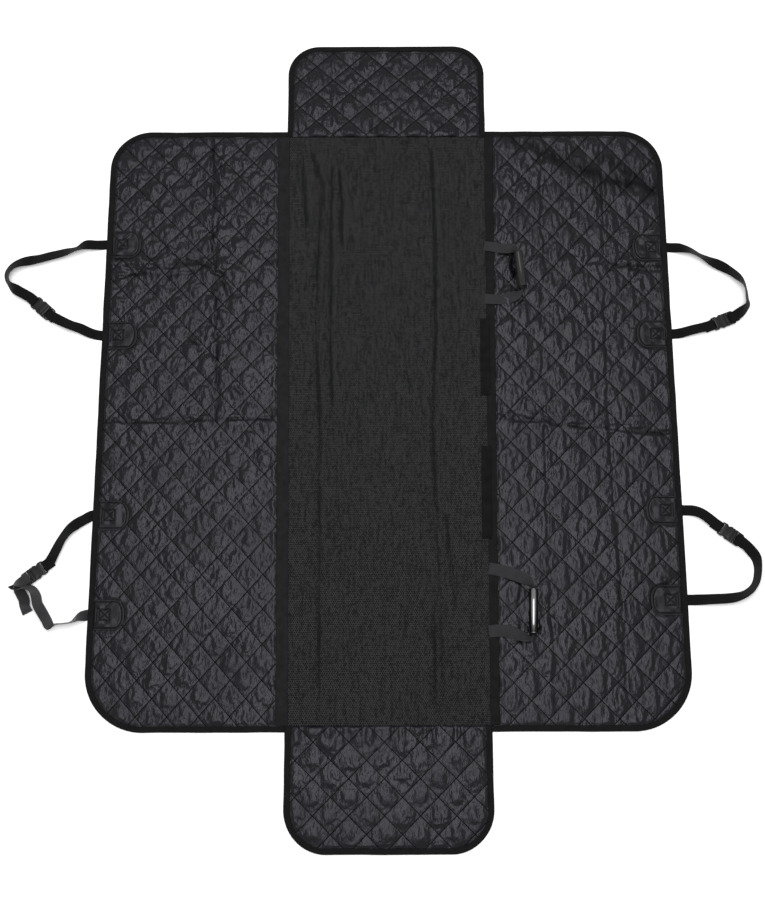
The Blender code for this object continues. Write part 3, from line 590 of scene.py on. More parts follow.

# A crease has its path in millimetres, height, width, seed, and where it has painted shade, how dark and how
# wide that shade is.
# A crumpled band has its path, height, width, noise size, seed and the noise's squeeze along and across it.
frontQuilt = {
    **quilting, "diamond": (0.0705, 0.0765), "cells": ((-5.25, 1.5), (-11, 8.25)), "seed": 3,
    "height": 0.0036, "fullness": (0.034, 0.026), "tapeHalf": 0.0135,
    "rows": (127, 76.5, 0.22),         # millimetres: the first row's y, the pitch and how much it closes up
    "columnZero": -0.325,              # x of column 0 at the middle of the cover's width
    "lean": 0.005,                     # how much the columns lean over half the width
    "creases": [
        ([(-435, 713), (-430, 604), (-429, 482), (-421, 387)], -0.0070, 0.0055, 11, 0.9),
        ([(-425, 686), (-415, 591), (-405, 511), (-418, 445)], 0.0045, 0.0060, 12),
        ([(-421, 372), (-411, 289), (-411, 212), (-405, 87), (-407, -12)], -0.0055, 0.0055, 13, 0.75),
        ([(-552, 686), (-540, 578), (-548, 511), (-529, 406)], 0.0035, 0.0065, 14),
        ([(-490, 394), (-463, 390), (-443, 379), (-423, 366), (-401, 351)], -0.0085, 0.0060, 15, 1.0),
        ([(-539, 346), (-510, 354), (-472, 360), (-455, 367)], -0.0070, 0.0055, 16, 0.9),
        ([(-663, 388), (-626, 390), (-590, 393), (-553, 390)], 0.0050, 0.0065, 17),
        ([(-668, 341), (-637, 351), (-600, 359), (-556, 354)], -0.0065, 0.0055, 18, 0.8),
        ([(-423, 366), (-370, 371), (-321, 377), (-272, 382)], 0.0045, 0.0080, 19),
        ([(-665, -17), (-560, -16), (-430, -12), (-250, -8)], -0.0060, 0.0050, 41, 0.6),
        ([(-400, 340), (-388, 322), (-381, 300)], -0.0060, 0.0050, 42, 0.8),
        ([(-482, 205), (-468, 188), (-455, 175), (-448, 160)], -0.0055, 0.0050, 43, 0.8),
        ([(-360, 70), (-345, 52), (-335, 28)], -0.0055, 0.0050, 44, 0.7),
    ],
    "crumples": [
        ([(-660, 372), (-500, 378), (-400, 365)], 0.0046, 0.026, 0.045, 21),
        ([(-660, -20), (-490, -14), (-260, -10)], 0.0036, 0.012, 0.045, 22),
        ([(-414, 700), (-412, 400), (-408, 100)], 0.0036, 0.018, 0.040, 23),
    ],
}
rearQuilt = {
    **quilting, "look": {**quilting["look"], "color": (0.0076, 0.0072, 0.0097), "roughness": 0.27},
    "diamond": (0.0750, 0.0800), "cells": ((-1, 5.35), (-9.5, 9)), "seed": 5, "height": 0.0042,
    "fullness": (0.032, 0.014), "tapeHalf": 0.0105,
    "rows": (0.013, 0.080),            # the first row's y and the pitch
    "columns": (0.479, 0.036, 0.003),  # x between columns 2 and 3, half the pitch, how much that grows
    "spreads": (0.520, 1.110),         # y where half the pitch is that, and over what length it grows
    "creases": [
        ([(388, 683), (381, 548), (386, 390), (371, 210), (373, -14), (371, -348), (376, -665)],
         -0.0050, 0.0055, 13),
        ([(533, 683), (537, 548), (530, 390), (527, 210), (524, -39), (535, -349), (538, -666)],
         -0.0050, 0.0055, 14),
        ([(589, -455), (624, -409), (645, -386), (672, -370)], 0.0065, 0.0075, 15),
        ([(597, -464), (633, -419), (653, -396), (676, -381)], -0.0040, 0.0045, 16),
        # shallow creases with a wide band of painted shade along each
        ([(314, 711), (395, 670), (468, 629)], -0.0015, 0.0140, 45, 0.55, 0.015),
        ([(396, 678), (469, 642), (542, 601), (664, 574)], -0.0015, 0.0160, 46, 0.75, 0.018),
        ([(544, 656), (616, 607), (665, 580)], -0.0010, 0.0140, 47, 0.7, 0.016),
        ([(432, 642), (503, 575), (539, 535)], 0.0030, 0.0140, 48, 0.4, 0.012),
        ([(360, 668), (440, 628), (520, 585), (640, 548)], 0.0050, 0.030, 17),
        ([(560, 377), (620, 374), (660, 372), (692, 370)], -0.0060, 0.0045, 49, 0.9),
        ([(590, 366), (640, 363), (692, 362)], -0.0050, 0.0045, 50, 0.7),
        ([(580, -39), (640, -45), (692, -46)], -0.0070, 0.0055, 51, 1.0),
        ([(280, -5), (400, -22), (520, -36)], -0.0050, 0.0050, 52, 0.7),
        # a crease with painted shade beside the far tube, where the tube's shadow falls
        ([(309, 412), (313, 360), (317, 312)], -0.0050, 0.0080, 53, 1.0, 0.0090),
    ],
    "crumples": [
        ([(260, -4), (408, -24), (549, -39), (686, -45)], 0.0035, 0.016, 0.045, 24),
        ([(430, 384), (560, 380), (690, 374)], 0.0030, 0.013, 0.045, 25),
        ([(384, 690), (376, 200), (372, -660)], 0.0020, 0.010, 0.035, 26),
        ([(534, 690), (527, 200), (538, -660)], 0.0020, 0.010, 0.035, 27),
    ],
}


frontPanel = quiltedPiece("frontPanel", frontQuilt, frontPlace, panelHeight(-1, frontQuilt["tapeHalf"]),
                          panelKeep(-1), quiltMaterial("frontQuilt", frontQuilt["look"]))
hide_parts("front_quilted_panel")
rearPanel = quiltedPiece("rearPanel", rearQuilt, rearPlace, panelHeight(1, rearQuilt["tapeHalf"]),
                         panelKeep(1), quiltMaterial("rearQuilt", rearQuilt["look"]))
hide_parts("rear_quilted_panel")
print("panels made")


# A quilted side flap, gathered a little at its seam
def flapPiece(name, side, quilt, node):
    width, reach, radius = quilt["size"]
    end = cover["halfWidth"] + reach

    def place(a, b):
        wide, tall = quilt["diamond"]
        return quilt["crossing"][0] + a * wide, quilt["crossing"][1] + b * tall

    def inside(x, y):
        return insideBox(x, side * y, width / 2, -end, end, radius, radius)

    def height(x, y):
        edge = inside(x, y) - cover["binding"] + 0.001
        return smoothStep(np.minimum(edge, side * y - cover["flapSeam"] + 0.0015) / 0.008)

    def keep(x, y):
        return (inside(x, y) > cover["tongue"]) & (side * y > cover["flapSeam"] - 0.006)

    piece = quiltedPiece(name, quilt, place, height, keep, quiltMaterial(name, quilt["look"]),
                         seam=side * (cover["flapSeam"] + 0.0003))
    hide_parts(node)
    return piece


farFlapQuilt = {
    **quilting, "size": (0.494, 0.238, 0.080),  # width, reach beyond the panels and corner radius
    "diamond": (0.083, 0.076), "crossing": (-0.009, 0.8405), "cells": ((-2.9, 3.1), (-1.6, 1.75)), "seed": 7,
    "height": 0.0034, "fullness": (0.030, 0.020),
    "creases": [
        ([(-142, 960), (-141, 725)], -0.0022, 0.005, 31),
        ([(112, 960), (110, 725)], -0.0022, 0.005, 32),
        ([(163, 960), (160, 725)], -0.0018, 0.005, 33),
    ],
    "crumples": [([(-240, 731), (240, 731)], 0.0030, 0.034, 0.03, 34, 2.0, 0.45)],
}
nearFlapQuilt = {
    **quilting, "size": (0.465, 0.262, 0.096),
    "diamond": (0.0795, 0.0793), "crossing": (0.0306, -0.8753), "cells": ((-3.35, 2.55), (-1.5, 2)),
    "seed": 9, "height": 0.0034, "fullness": (0.025, 0.025),
    "creases": [
        ([(-130, -735), (-129, -985)], -0.0022, 0.005, 35),
        ([(93, -735), (90, -985)], -0.0018, 0.005, 36),
        ([(137, -735), (134, -985)], -0.0022, 0.005, 37),
    ],
    "crumples": [([(-230, -731), (230, -731)], 0.0034, 0.036, 0.03, 38, 2.2, 0.45)],
}
farFlap = flapPiece("farFlap", 1, farFlapQuilt, "far_side_flap")
nearFlap = flapPiece("nearFlap", -1, nearFlapQuilt, "near_side_flap")
print("flaps made")


seat = {
    "look": {"color": (0.0290, 0.0288, 0.0306), "roughness": 0.8, "specular": 0.25, "holeX": 0.0052,
             "holeY": 0.0044, "contrast": 2.3, "relief": 0.0006},
    "ridges": [  # path in millimetres, height and width
        ([(-188, 705), (-151, 585), (-162, 400), (-164, 187), (-154, -20), (-152, -360), (-150, -720)],
         0.0042, 0.0065),
        ([(-128, 660), (-132, 500), (-130, 400), (-131, 187), (-124, -10)], 0.0040, 0.0060),
        ([(116, 705), (121, 585), (124, 400), (122, 187), (112, -20), (123, -360), (130, -720)],
         0.0042, 0.0065),
        ([(-205, 690), (-196, 560), (-190, 470)], 0.0036, 0.0060),
        ([(-112, 640), (-104, 540), (-106, 430)], 0.0030, 0.0060),
        ([(140, -230), (152, -360), (163, -470)], 0.0036, 0.0060),
        ([(108, -420), (112, -560), (110, -700)], 0.0036, 0.0060),
        ([(10, -33), (88, -33)], 0.0020, 0.0050),
    ],
    "sag": 0.0006, "base": 0.0008, "thick": 0.0012,
    "pressed": 0.0009,  # how much thinner it is under the flaps
}


# Flat mesh with long low folds: base + sag * (1 + noise) + height * exp(-(distance / width)^2)
def makeSeat():
    columns, rows = ((150, 260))
    end = cover["flapSeam"] + 0.0035
    share, y = np.meshgrid(np.linspace(-1, 1, columns), np.linspace(-end, end, rows))
    x = share * (seamX(y) - 0.0008)
    z = seat["base"] + seat["sag"] * (1 + valueNoise(x, y * 0.35, 0.05, 41))
    dark = np.zeros(x.shape)
    for path, tall, wide in seat["ridges"]:
        path = np.array(path) * mm
        away, along = pathDistance(x, y, path)
        ends = smoothStep(along / 0.12) * smoothStep((1 - along) / 0.12)
        z = z + tall * (0.4 + 0.6 * ends) * bell(away, wide)
        # dark on the side away from the light, a little lighter on the other
        away, along = pathDistance(x + 0.005, y, path)
        ends = smoothStep(along / 0.06) * smoothStep((1 - along) / 0.06)
        uneven = smoothStep(0.8 + 0.6 * valueNoise(x, y * 0.4, 0.03, 42))
        crest = pathDistance(x - 0.003, y, path)[0]
        dark = dark + ends * uneven * (bell(away, 0.0062) - 0.5 * bell(crest, 0.0055))
    flat = smoothStep((1 - np.abs(share)) * 12) * smoothStep((cover["flapSeam"] - np.abs(y)) / 0.02)
    under = smoothStep((np.abs(y) - cover["flapSeam"] + 0.004) / 0.004)
    z = seat["base"] + (z - seat["base"]) * flat
    top = np.stack([x, y, z + seat["thick"] - seat["pressed"] * under], -1)
    low = np.stack([x, y, np.maximum(z - 0.0006, 0.0001)], -1)
    piece = closedSheet("seatPanel", top, low, np.stack([x, y], -1), knitMaterial("seatMesh", seat["look"]))
    paintedShadeMask(piece, np.concatenate([dark.ravel()] * 2))
    return piece


seatPanel = makeSeat()
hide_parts("mesh_seat_panel")


# A strip between the lines x0(y) and x1(y), a little wavy, with its edges pulled down
def tapePiece(name, x0, x1, y0, y1, base, thick, wave, seed, material):
    rows, columns = max(int((y1 - y0) / 0.005), 4), 9
    share, y = np.meshgrid(np.linspace(0, 1, columns), np.linspace(y0, y1, rows))
    left, right = x0(y), x1(y)
    sway = wave * valueNoise(y, 0 * y, 0.035, seed)
    sway = sway + 0.5 * wave * valueNoise(y, share * 0.01, 0.012, seed + 1)
    x = left + share * (right - left) + sway
    z = base(x, y) + wave * (0.5 + 0.5 * valueNoise(x, y, 0.018, seed + 2)) * np.sin(math.pi * share)
    top = np.stack([x, y, z + thick], -1)
    low = np.stack([x, y, z], -1)
    return closedSheet(name, top, low, np.stack([x - left, y], -1), material)


tapeFeel = {"roughness": 0.85, "specular": 0.2, "pitch": 0.0016, "contrast": 1.7, "relief": 0.0002}
tapes = {
    "front": {"side": -1, "width": 0.028, "look": {**tapeFeel, "color": (0.0235, 0.0225, 0.0245)}},
    "rear": {"side": 1, "width": 0.021, "look": {**tapeFeel, "color": (0.0155, 0.0150, 0.0165)}},
    "wave": 0.0004, "level": 0.0027, "thick": 0.0010,
}


# The line that lies offset from a long seam, as a function of y
def seamLine(side, offset):
    return lambda y: side * seamX(y) + offset


# Underside of a seam tape
def tapeBase(x, y):
    return tapes["level"] + 0 * x


tapeEnd = cover["halfWidth"] - cover["binding"] - 0.0003
for end in ("front", "rear"):
    tape = tapes[end]
    left, right = (seamLine(tape["side"], share * tape["width"]) for share in (-0.5, 0.5))
    strip = tapePiece(f"{end}SeamTape", left, right, -tapeEnd, tapeEnd, tapeBase, tapes["thick"],
                      tapes["wave"], 51 + tape["side"], wovenMaterial(f"{end}Tape", tape["look"]))
    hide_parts(f"{end}_seam_tape")

closure = {
    "spans": ((0.048, 0.240), (-0.298, -0.077)), "sides": (-0.0255, -0.0025), "low": 0.0024, "step": 0.0019,
    "stepAt": 0.0130, "stepRun": 0.0022, "wave": 0.0003, "thick": 0.0011,
    "look": {"color": (0.0135, 0.0133, 0.0143), "roughness": 0.9, "specular": 0.15, "pitch": 0.0022,
             "contrast": 1.9, "relief": 0.0004},
}


# Underside of a closure: low over the mesh, one smooth step up over the seam tape
def closureBase(x, y):
    past = x - seamX(y) + closure["stepAt"]
    return closure["low"] + closure["step"] * smoothStep(past / closure["stepRun"])


for number, (low, high) in enumerate(closure["spans"], 1):
    left, right = (seamLine(1, offset) for offset in closure["sides"])
    strip = tapePiece(f"beltSlot{number}", left, right, low, high, closureBase, closure["thick"],
                      closure["wave"], 60 + number, wovenMaterial(f"closure{number}", closure["look"]))
    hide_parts(f"belt_slot_closure_{number}")
print("seat made")


bindingTape = {
    "thick": 0.0009, "gap": 0.0027, "sway": 0.0005, "step": 0.004,
    "seamEnds": (0.2328, 0.2473),    # x where a long panel's edge meets its seam, near and far
    "uneven": (0.05, 0.07),          # how much the width and the height vary, as shares of them
    "noise": (0.030, 0.012, 0.045),  # noise sizes for the width, the height and the sway
    "look": {"color": (0.0125, 0.0125, 0.0132), "roughness": 0.8, "specular": 0.2, "pitch": 0.0016,
             "contrast": 1.6, "relief": 0.0002},
}
bindingMaterial = wovenMaterial("binding", bindingTape["look"])


# Folded tape: in from the edge and up, with a round fold
def bindingSection():
    w, t, gapTop = cover["binding"], bindingTape["thick"], bindingTape["gap"]
    outer = [(w, 0.0), (w * 0.66, 0.0), (w * 0.33, 0.0), (0.0016, 0.0), (0.0006, 0.0004), (0.0, 0.0013),
             (0.0, 0.0024), (0.0006, 0.0032), (0.0018, gapTop + t), (w * 0.33, gapTop + t + 0.0001),
             (w * 0.66, gapTop + t + 0.0001), (w * 0.92, gapTop + t), (w, gapTop + t * 0.7)]
    inner = [(w, gapTop), (w * 0.5, gapTop), (t + 0.0004, gapTop), (t, 0.0018), (t + 0.0004, t), (w * 0.5, t),
             (w, t)]
    return np.array(outer + inner)


# The section swept along the edge, which lies to the right of the path, a little uneven
def bindingPiece(name, corners, seed, nodes):
    path = roundedPath(corners, bindingTape["step"])
    ahead = unit(np.gradient(path, axis=0))
    inward = np.stack([-ahead[:, 1], ahead[:, 0]], 1)
    section = bindingSection()
    gone = np.arange(len(path)) * bindingTape["step"]
    noises = enumerate(bindingTape["noise"])
    wide, lift, wave = (valueNoise(gone, 0 * gone, size, seed + k) for k, size in noises)
    wide, lift = 1 + bindingTape["uneven"][0] * wide, 1 + bindingTape["uneven"][1] * lift
    reach = section[None, :, 0] * np.where(section[None, :, 0] > 0.006, wide[:, None], 1)
    rise = section[None, :, 1] * np.where(section[None, :, 1] > 0.0028, lift[:, None], 1)
    sway = bindingTape["sway"] * smoothStep(np.minimum(gone, gone[-1] - gone) / 0.05)
    reach = reach - (sway * wave)[:, None]
    points = np.empty((len(path), len(section), 3))
    points[..., :2] = path[:, None] + inward[:, None] * reach[..., None]
    points[..., 2] = rise
    uv = np.stack(np.meshgrid(lengthGone(section), gone), -1)
    piece = meshPiece(name, points, tubeFaces(*points.shape[:2]), bindingMaterial, uv,
                      outward=True)
    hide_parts(*nodes)


# The bound edge of a long panel, from one end of its seam round to the other: x, y and corner radius
def panelCorners(side):
    x, y = cover["halfLength"], cover["halfWidth"]
    near, far = bindingTape["seamEnds"]
    corners = [(near, -y, 0), (x, -y, cover["nearRadius"]), (x, y, cover["farRadius"]), (far, y, 0)]
    return corners if side > 0 else [(-x, y, radius) for x, y, radius in reversed(corners)]


# The bound edge of a flap, from one end of its seam round to the other
def flapCorners(side, width, reach, radius):
    x, y, seam = width / 2, cover["halfWidth"] + reach, cover["flapSeam"] + 0.0002
    corners = [(x, seam, 0), (x, y, radius), (-x, y, radius), (-x, seam, 0)]
    return corners if side > 0 else [(-x, -y, radius) for x, y, radius in corners]


bindingPiece("frontBinding", panelCorners(-1), 71, ["front_quilted_panel_binding"])
bindingPiece("rearBinding", panelCorners(1), 73, ["rear_quilted_panel_binding"])
bindingPiece("farFlapBinding", flapCorners(1, *farFlapQuilt["size"]), 75, ["far_side_flap_binding"])
bindingPiece("nearFlapBinding", flapCorners(-1, *nearFlapQuilt["size"]), 77, ["near_side_flap_binding"])
print("bindings made")


patchMaterial = quiltMaterial("patch", patch["look"])


# A D of cloth: straight by the binding, round inboard, with a sewn box and cross
def patchPiece(name, side, root, seed, node):
    count = 56
    s, v = np.meshgrid(np.linspace(0, 1, count), np.linspace(-1, 1, count))
    half, radius = patch["size"] / 2, patch["radius"]
    beyond = np.maximum(np.abs(v) * half - (half - radius), 0)
    depth = patch["size"] - radius + np.sqrt(np.maximum(radius ** 2 - beyond ** 2, 0)) - 0.0004
    edge = cover["halfLength"] - cover["binding"] - patch["gap"]
    inboard, y = s * depth, v * half
    x = side * (edge - inboard)
    rim = np.minimum(np.minimum(depth - inboard, inboard + 0.004), half - np.abs(y))
    box, inset = patch["box"] / 2, patch["boxInset"]
    bx, by = inboard - inset - box, y
    square = np.abs(np.maximum(np.abs(bx), np.abs(by)) - box)
    within = smoothStep((box + 0.001 - np.maximum(np.abs(bx), np.abs(by))) / 0.001)
    cross = np.minimum(np.abs(bx - by), np.abs(bx + by)) / math.sqrt(2)
    # puff * (smooth rise over 9 mm from the rim) * (1 + noise / 2)
    z = patch["puff"] * smoothStep(rim / 0.009) * (1 + 0.5 * valueNoise(x, y, 0.014, seed))
    upright = pathDistance(inboard, y, patch["upright"])[0]
    lines = np.maximum(bell(square, patch["groove"]), within * bell(cross, patch["groove"]))
    lines = np.maximum(lines, bell(upright, patch["groove"]))
    lines = np.maximum(lines, 0.9 * bell(rim - patch["outline"], patch["groove"]))
    z = z - patch["depth"] * lines
    # one pucker runs from a corner of the box to the rim
    pucker = [(inset + 1.4 * box, box + 0.002), (inset + 2 * box + 0.008, box + 0.017)]
    z = z + patch["pucker"] * bell(pathDistance(inboard, y, pucker)[0], 0.0022) * smoothStep(rim / 0.006)
    top = np.stack([x, y + root, patch["level"] + np.maximum(z, -0.0002)], -1)
    low = np.stack([x, y + root, patch["under"] + 0 * z], -1)
    if side > 0:
        top, low, lines = top[:, ::-1], low[:, ::-1], lines[:, ::-1]
    uv = np.stack([0.5 + 0 * x, 0 * y], -1)  # the middle of a diamond, so that no quilting line crosses it
    piece = closedSheet(name, top, low, uv, patchMaterial)
    # painted shade in the sewn grooves of the patch
    paintedShadeMask(piece, np.concatenate([lines.ravel()] * 2))
    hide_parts(node)


for side, end in ((-1, "front"), (1, "rear")):
    for number, root in enumerate(roots[end], 1):
        patchPiece(f"{end}Patch{number}", side, root, 80 + number + side, f"{end}_patch_{number}")
print("patches made")


webbing = {
    "width": 0.025, "thick": 0.0012, "step": 0.004, "root": 0.045, "farAnchor": 1.0, "nearAnchor": 1.12,
    "lean": 0.24, "lift": 0.0012, "seed": 100,
    "turn": 0.00337,         # radius round a bar
    "held": (0.055, 0.045),  # lengths at the start and at the end that neither lean nor lift
    "look": {"color": (0.0080, 0.0080, 0.0085), "roughness": 0.60, "specular": 0.22, "pitch": 0.0022,
             "contrast": 1.8, "relief": 0.0004},
    "lit": {"color": (0.0255, 0.0248, 0.0290), "roughness": 0.42, "specular": 0.9},  # where it is lit
}
webbingMaterial = wovenMaterial("webbing", webbing["look"])
# painted light: a lighter copy of the webbing for the anchor webbing and the loose strap, which catch the light
litWebbing = wovenMaterial("webbingPaintedLight", {**webbing["look"], **webbing["lit"]})

# Routes outside the cover: x, y and z in millimetres, and the roll in degrees
routes = {
    "front_far_a": [(-713, 431, 6, 0), (-733, 430, 10, 12), (-755, 420, 10, 36), (-785, 411, 8, 26),
                    (-815, 403, 8, 16), (-850, 393, 9, 12), (-880, 387, 11, 18), (-904, 377, 13, 30),
                    (-918, 361, 14, 46), (-920, 343, 14, 54), (-912, 326, 13, 50), (-895, 313, 11, 24)],
    "front_far_b": [(-712, 205, 3, 0), (-738, 216, 7, 0), (-762, 224, 9, 8)],
    "front_near_a": [(-703, -251, 5, 0), (-720, -262, 8, 8), (-737, -276, 9, 22), (-753, -298, 9, 30),
                     (-764, -322, 9, 18)],
    "front_near_b": [(-697, -475, 5, 6), (-707, -480, 9, 34), (-721, -489, 12, 64), (-739, -492, 12, 70),
                     (-755, -494, 11, 62), (-768, -498, 9, 26), (-777, -484, 8, 22), (-789, -465, 8, 28),
                     (-799, -447, 10, 38), (-803, -429, 13, 40), (-812, -414, 17, 56), (-829, -410, 20, 72),
                     (-846, -415, 20, 80), (-857, -411, 18, 70)],
    "rear_far_a": [(715, 419, 6, 0), (743, 410, 10, -28), (764, 398, 10, -36), (792, 381, 9, -12),
                   (820, 367, 9, -4), (845, 349, 11, -20), (861, 329, 13, -44), (868, 308, 14, -50),
                   (869, 288, 14, -50), (870, 270, 13, -42)],
    "rear_far_b": [(709, 202, 3, 0), (733, 208, 7, 0)],
    "rear_near_a": [(709, -234, 5, 0), (728, -241, 8, 8)],
    "rear_near_b": [(713, -441, 3, 0), (742, -440, 6, -6), (772, -439, 9, -14), (795, -436, 12, -30),
                    (813, -430, 14, -42), (829, -419, 14, -48), (841, -403, 13, -50), (847, -384, 11, -50),
                    (849, -362, 10, -46), (845, -341, 9, -26)],
}
looseEnd = [(-845, -410, 4, 0), (-840, -423, 4, 6), (-832, -436, 5, -14), (-829, -453, 5, 12),
            (-822, -467, 3, 0)]
# The anchors' rows end with the share of the webbing's width
anchors = {
    "far": [(238, 427, 4.8, 0, 1), (256, 424, 6.8, 0, 1), (274, 420, 6.4, 0, 1), (294, 417, 11, 0, 1),
            (307, 416, 16, 24, 0.9), (315.5, 412, 18.5, 58, 0.62), (319.4, 402.5, 19, 90, 0.48),
            (320.4, 392, 19, 90, 0.48), (326.6, 326, 19, 90, 0.48), (327.6, 316.5, 19, 90, 0.48),
            (325.2, 306, 18.5, 58, 0.62), (317.5, 298, 15, 24, 0.9), (303, 292, 11, 0, 1),
            (281, 288, 6.6, 0, 1), (260, 288, 7.4, 0, 1), (236, 290, 4.8, 0, 1)],
    "near": [(232, -367, 4.8, 0, 1), (251, -371, 5.8, 0, 1), (275, -378, 9, 0, 1),
             (300, -387, 12, 0, 1), (319, -396, 15, 20, 0.9), (329, -406, 18.5, 58, 0.62),
             (332, -418.5, 19, 90, 0.48), (331.7, -428, 19, 90, 0.48), (329.3, -507, 19, 90, 0.48),
             (329, -516.5, 19, 90, 0.48), (325, -527, 18.5, 58, 0.62), (315, -529, 14.5, 30, 0.85),
             (298, -521, 11, 10, 1), (275, -513, 9, 0, 1), (251, -510, 5.8, 0, 1), (229, -512, 4.8, 0, 1)],
}
# x, y and heading in degrees of each buckle
buckles = {
    "front_far": (-0.8264, 0.2636, -41.3),
    "front_near": (-0.8150, -0.3800, 216.7),
    "rear_far": (0.8147, 0.2334, 21.3),
    "rear_near": (0.7965, -0.2930, -35.9),
}
buckleLift = 0.0065
rearBar, ladderBar = -0.0323, 0.0125  # where the webbing's two bars lie along a buckle's own x


# Rows of place, direction across and share of the width, from routes in millimetres
def laid(points):
    rows = []
    for k, point in enumerate(points):
        ahead = Vector(points[min(k + 1, len(points) - 1)][:3]) - Vector(points[max(k - 1, 0)][:3])
        ahead.normalize()
        level = Vector((-ahead.y, ahead.x, 0)).normalized()
        across = Matrix.Rotation(math.radians(point[3]), 3, ahead) @ level
        rows.append([*(Vector(point[:3]) * mm), *across, point[4] if len(point) > 4 else 1])
    return rows


# The start of a strap: flat under the patch and out below the binding
def rootRows(side, root):
    reaches = (-webbing["root"], -0.014, 0.002)
    return [(side * (cover["halfLength"] + reach) / mm, root / mm, 0, 0) for reach in reaches]


# The place of a buckle as a matrix
def buckleFrame(place):
    x, y, heading = buckles[place]
    return Matrix.Translation((x, y, buckleLift)) @ Matrix.Rotation(math.radians(heading), 4, "Z")


# Rows of webbing that comes in over a bar, turns round it and goes out below
def aroundBar(place, barX, outward, tail):
    turn = webbing["turn"]
    slant = turn * math.sin(math.radians(45))
    shape = [(0.013, turn), (0.004, turn), (-slant, slant), (-turn, 0), (-slant, -slant), (0.004, -turn)]
    shape += [(reach, -turn) for reach in tail]
    frameOf = buckleFrame(place)
    across = frameOf.to_3x3() @ Vector((0, outward, 0))
    return [[*(frameOf @ Vector((barX + outward * reach, 0, height))), *across, 1] for reach, height in shape]


# A centripetal curve through the rows, by place, sampled about every step
def smoothRows(rows, step):
    rows = np.array(rows, float)
    for k in range(1, len(rows)):
        if rows[k, 3:6] @ rows[k - 1, 3:6] < 0:
            rows[k, 3:6] *= -1
    padded = np.concatenate([[2 * rows[0] - rows[1]], rows, [2 * rows[-1] - rows[-2]]])
    made = [rows[:1]]
    for k in range(len(rows) - 1):
        p0, p1, p2, p3 = padded[k:k + 4]
        t0, t1 = 0.0, np.linalg.norm((p1 - p0)[:3]) ** 0.5
        t2 = t1 + np.linalg.norm((p2 - p1)[:3]) ** 0.5
        t3 = t2 + np.linalg.norm((p3 - p2)[:3]) ** 0.5
        parts = max(int(np.linalg.norm((p2 - p1)[:3]) / step), 2)
        t = (t1 + (t2 - t1) * np.arange(1, parts + 1) / parts)[:, None]
        a1 = p0 * (t1 - t) / (t1 - t0) + p1 * (t - t0) / (t1 - t0)
        a2 = p1 * (t2 - t) / (t2 - t1) + p2 * (t - t1) / (t2 - t1)
        a3 = p2 * (t3 - t) / (t3 - t2) + p3 * (t - t2) / (t3 - t2)
        b1 = a1 * (t2 - t) / (t2 - t0) + a2 * (t - t0) / (t2 - t0)
        b2 = a2 * (t3 - t) / (t3 - t1) + a3 * (t - t1) / (t3 - t1)
        made.append(b1 * (t2 - t) / (t2 - t1) + b2 * (t - t1) / (t2 - t1))
    return np.concatenate(made)


straps = []  # each strap takes its own noise from how many came before it


# A strap with thin round edges through the rows, which leans and lifts a little by noise along it
def webbingPiece(name, rows, node, material):
    line = smoothRows(rows, webbing["step"])
    ahead, across = unit(np.gradient(line[:, :3], axis=0)), line[:, 3:6]
    across = unit(across - ahead * (across * ahead).sum(1)[:, None])
    up = np.cross(ahead, across)
    seed = webbing["seed"] + 3 * len(straps)
    gone = lengthGone(line[:, :3])
    first, last = webbing["held"]
    free = smoothStep((gone - first) / 0.02) * smoothStep((gone[-1] - last - gone) / 0.02)
    free = free * (line[:, 6] > 0.95)
    lean = (webbing["lean"] * free * valueNoise(gone, 0 * gone, 0.030, seed))[:, None]
    across, up = across * np.cos(lean) + up * np.sin(lean), up * np.cos(lean) - across * np.sin(lean)
    line[:, 2] += webbing["lift"] * free * (1 + valueNoise(gone, 0 * gone, 0.024, seed + 1))
    half, thick = webbing["width"] / 2 * line[:, 6:7], webbing["thick"] / 2
    place = line[:, :3].copy()
    lowest = np.abs(across[:, 2]) * half[:, 0] + np.abs(up[:, 2]) * thick
    place[:, 2] = np.maximum(place[:, 2], lowest + 0.0001)
    v = np.array([-1, -0.93, -0.6, -0.2, 0.2, 0.6, 0.93, 1, 0.93, 0.6, 0.2, -0.2, -0.6, -0.93])
    w = np.array([0, 0.8, 1, 1, 1, 1, 0.8, 0, -0.8, -1, -1, -1, -1, -0.8])
    points = place[:, None] + across[:, None] * (v[None] * half)[..., None]
    points = points + up[:, None] * (w * thick)[None, :, None]
    uv = np.stack(np.meshgrid(v * webbing["width"] / 2, gone), -1)
    piece = meshPiece(name, points, tubeFaces(*points.shape[:2]), material, uv, outward=True)
    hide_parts(node)
    straps.append(piece)


for side, end in ((-1, "front"), (1, "rear")):
    for place, pair in (("far", roots[end][:2]), ("near", roots[end][2:])):
        loop = f"{end}_{place}"
        for letter, root in zip("ab", pair):
            onSocket = (letter == "a") == (loop != "rear_far")
            bar, way = (rearBar, -1) if onSocket else (ladderBar, 1)
            hand = laid(rootRows(side, root) + routes[f"{loop}_{letter}"])
            loose = (loop, letter) == ("front_near", "b")
            wrap = aroundBar(loop, bar, way, (0.011,) if loose else (0.016, 0.022))
            wrap += laid(looseEnd) if loose else []
            webbingPiece(f"{end}{place.title()}Strap{letter.upper()}", hand + wrap, f"{loop}_strap_{letter}",
                         litWebbing if loose else webbingMaterial)
for place in ("far", "near"):
    wide = webbing[place + "Anchor"]
    rows = [(*point[:4], point[4] * (wide if point[4] > 0.8 else 1)) for point in anchors[place]]
    webbingPiece(f"{place}AnchorWebbing", laid(rows), f"{place}_anchor_webbing", litWebbing)
print("webbing made")


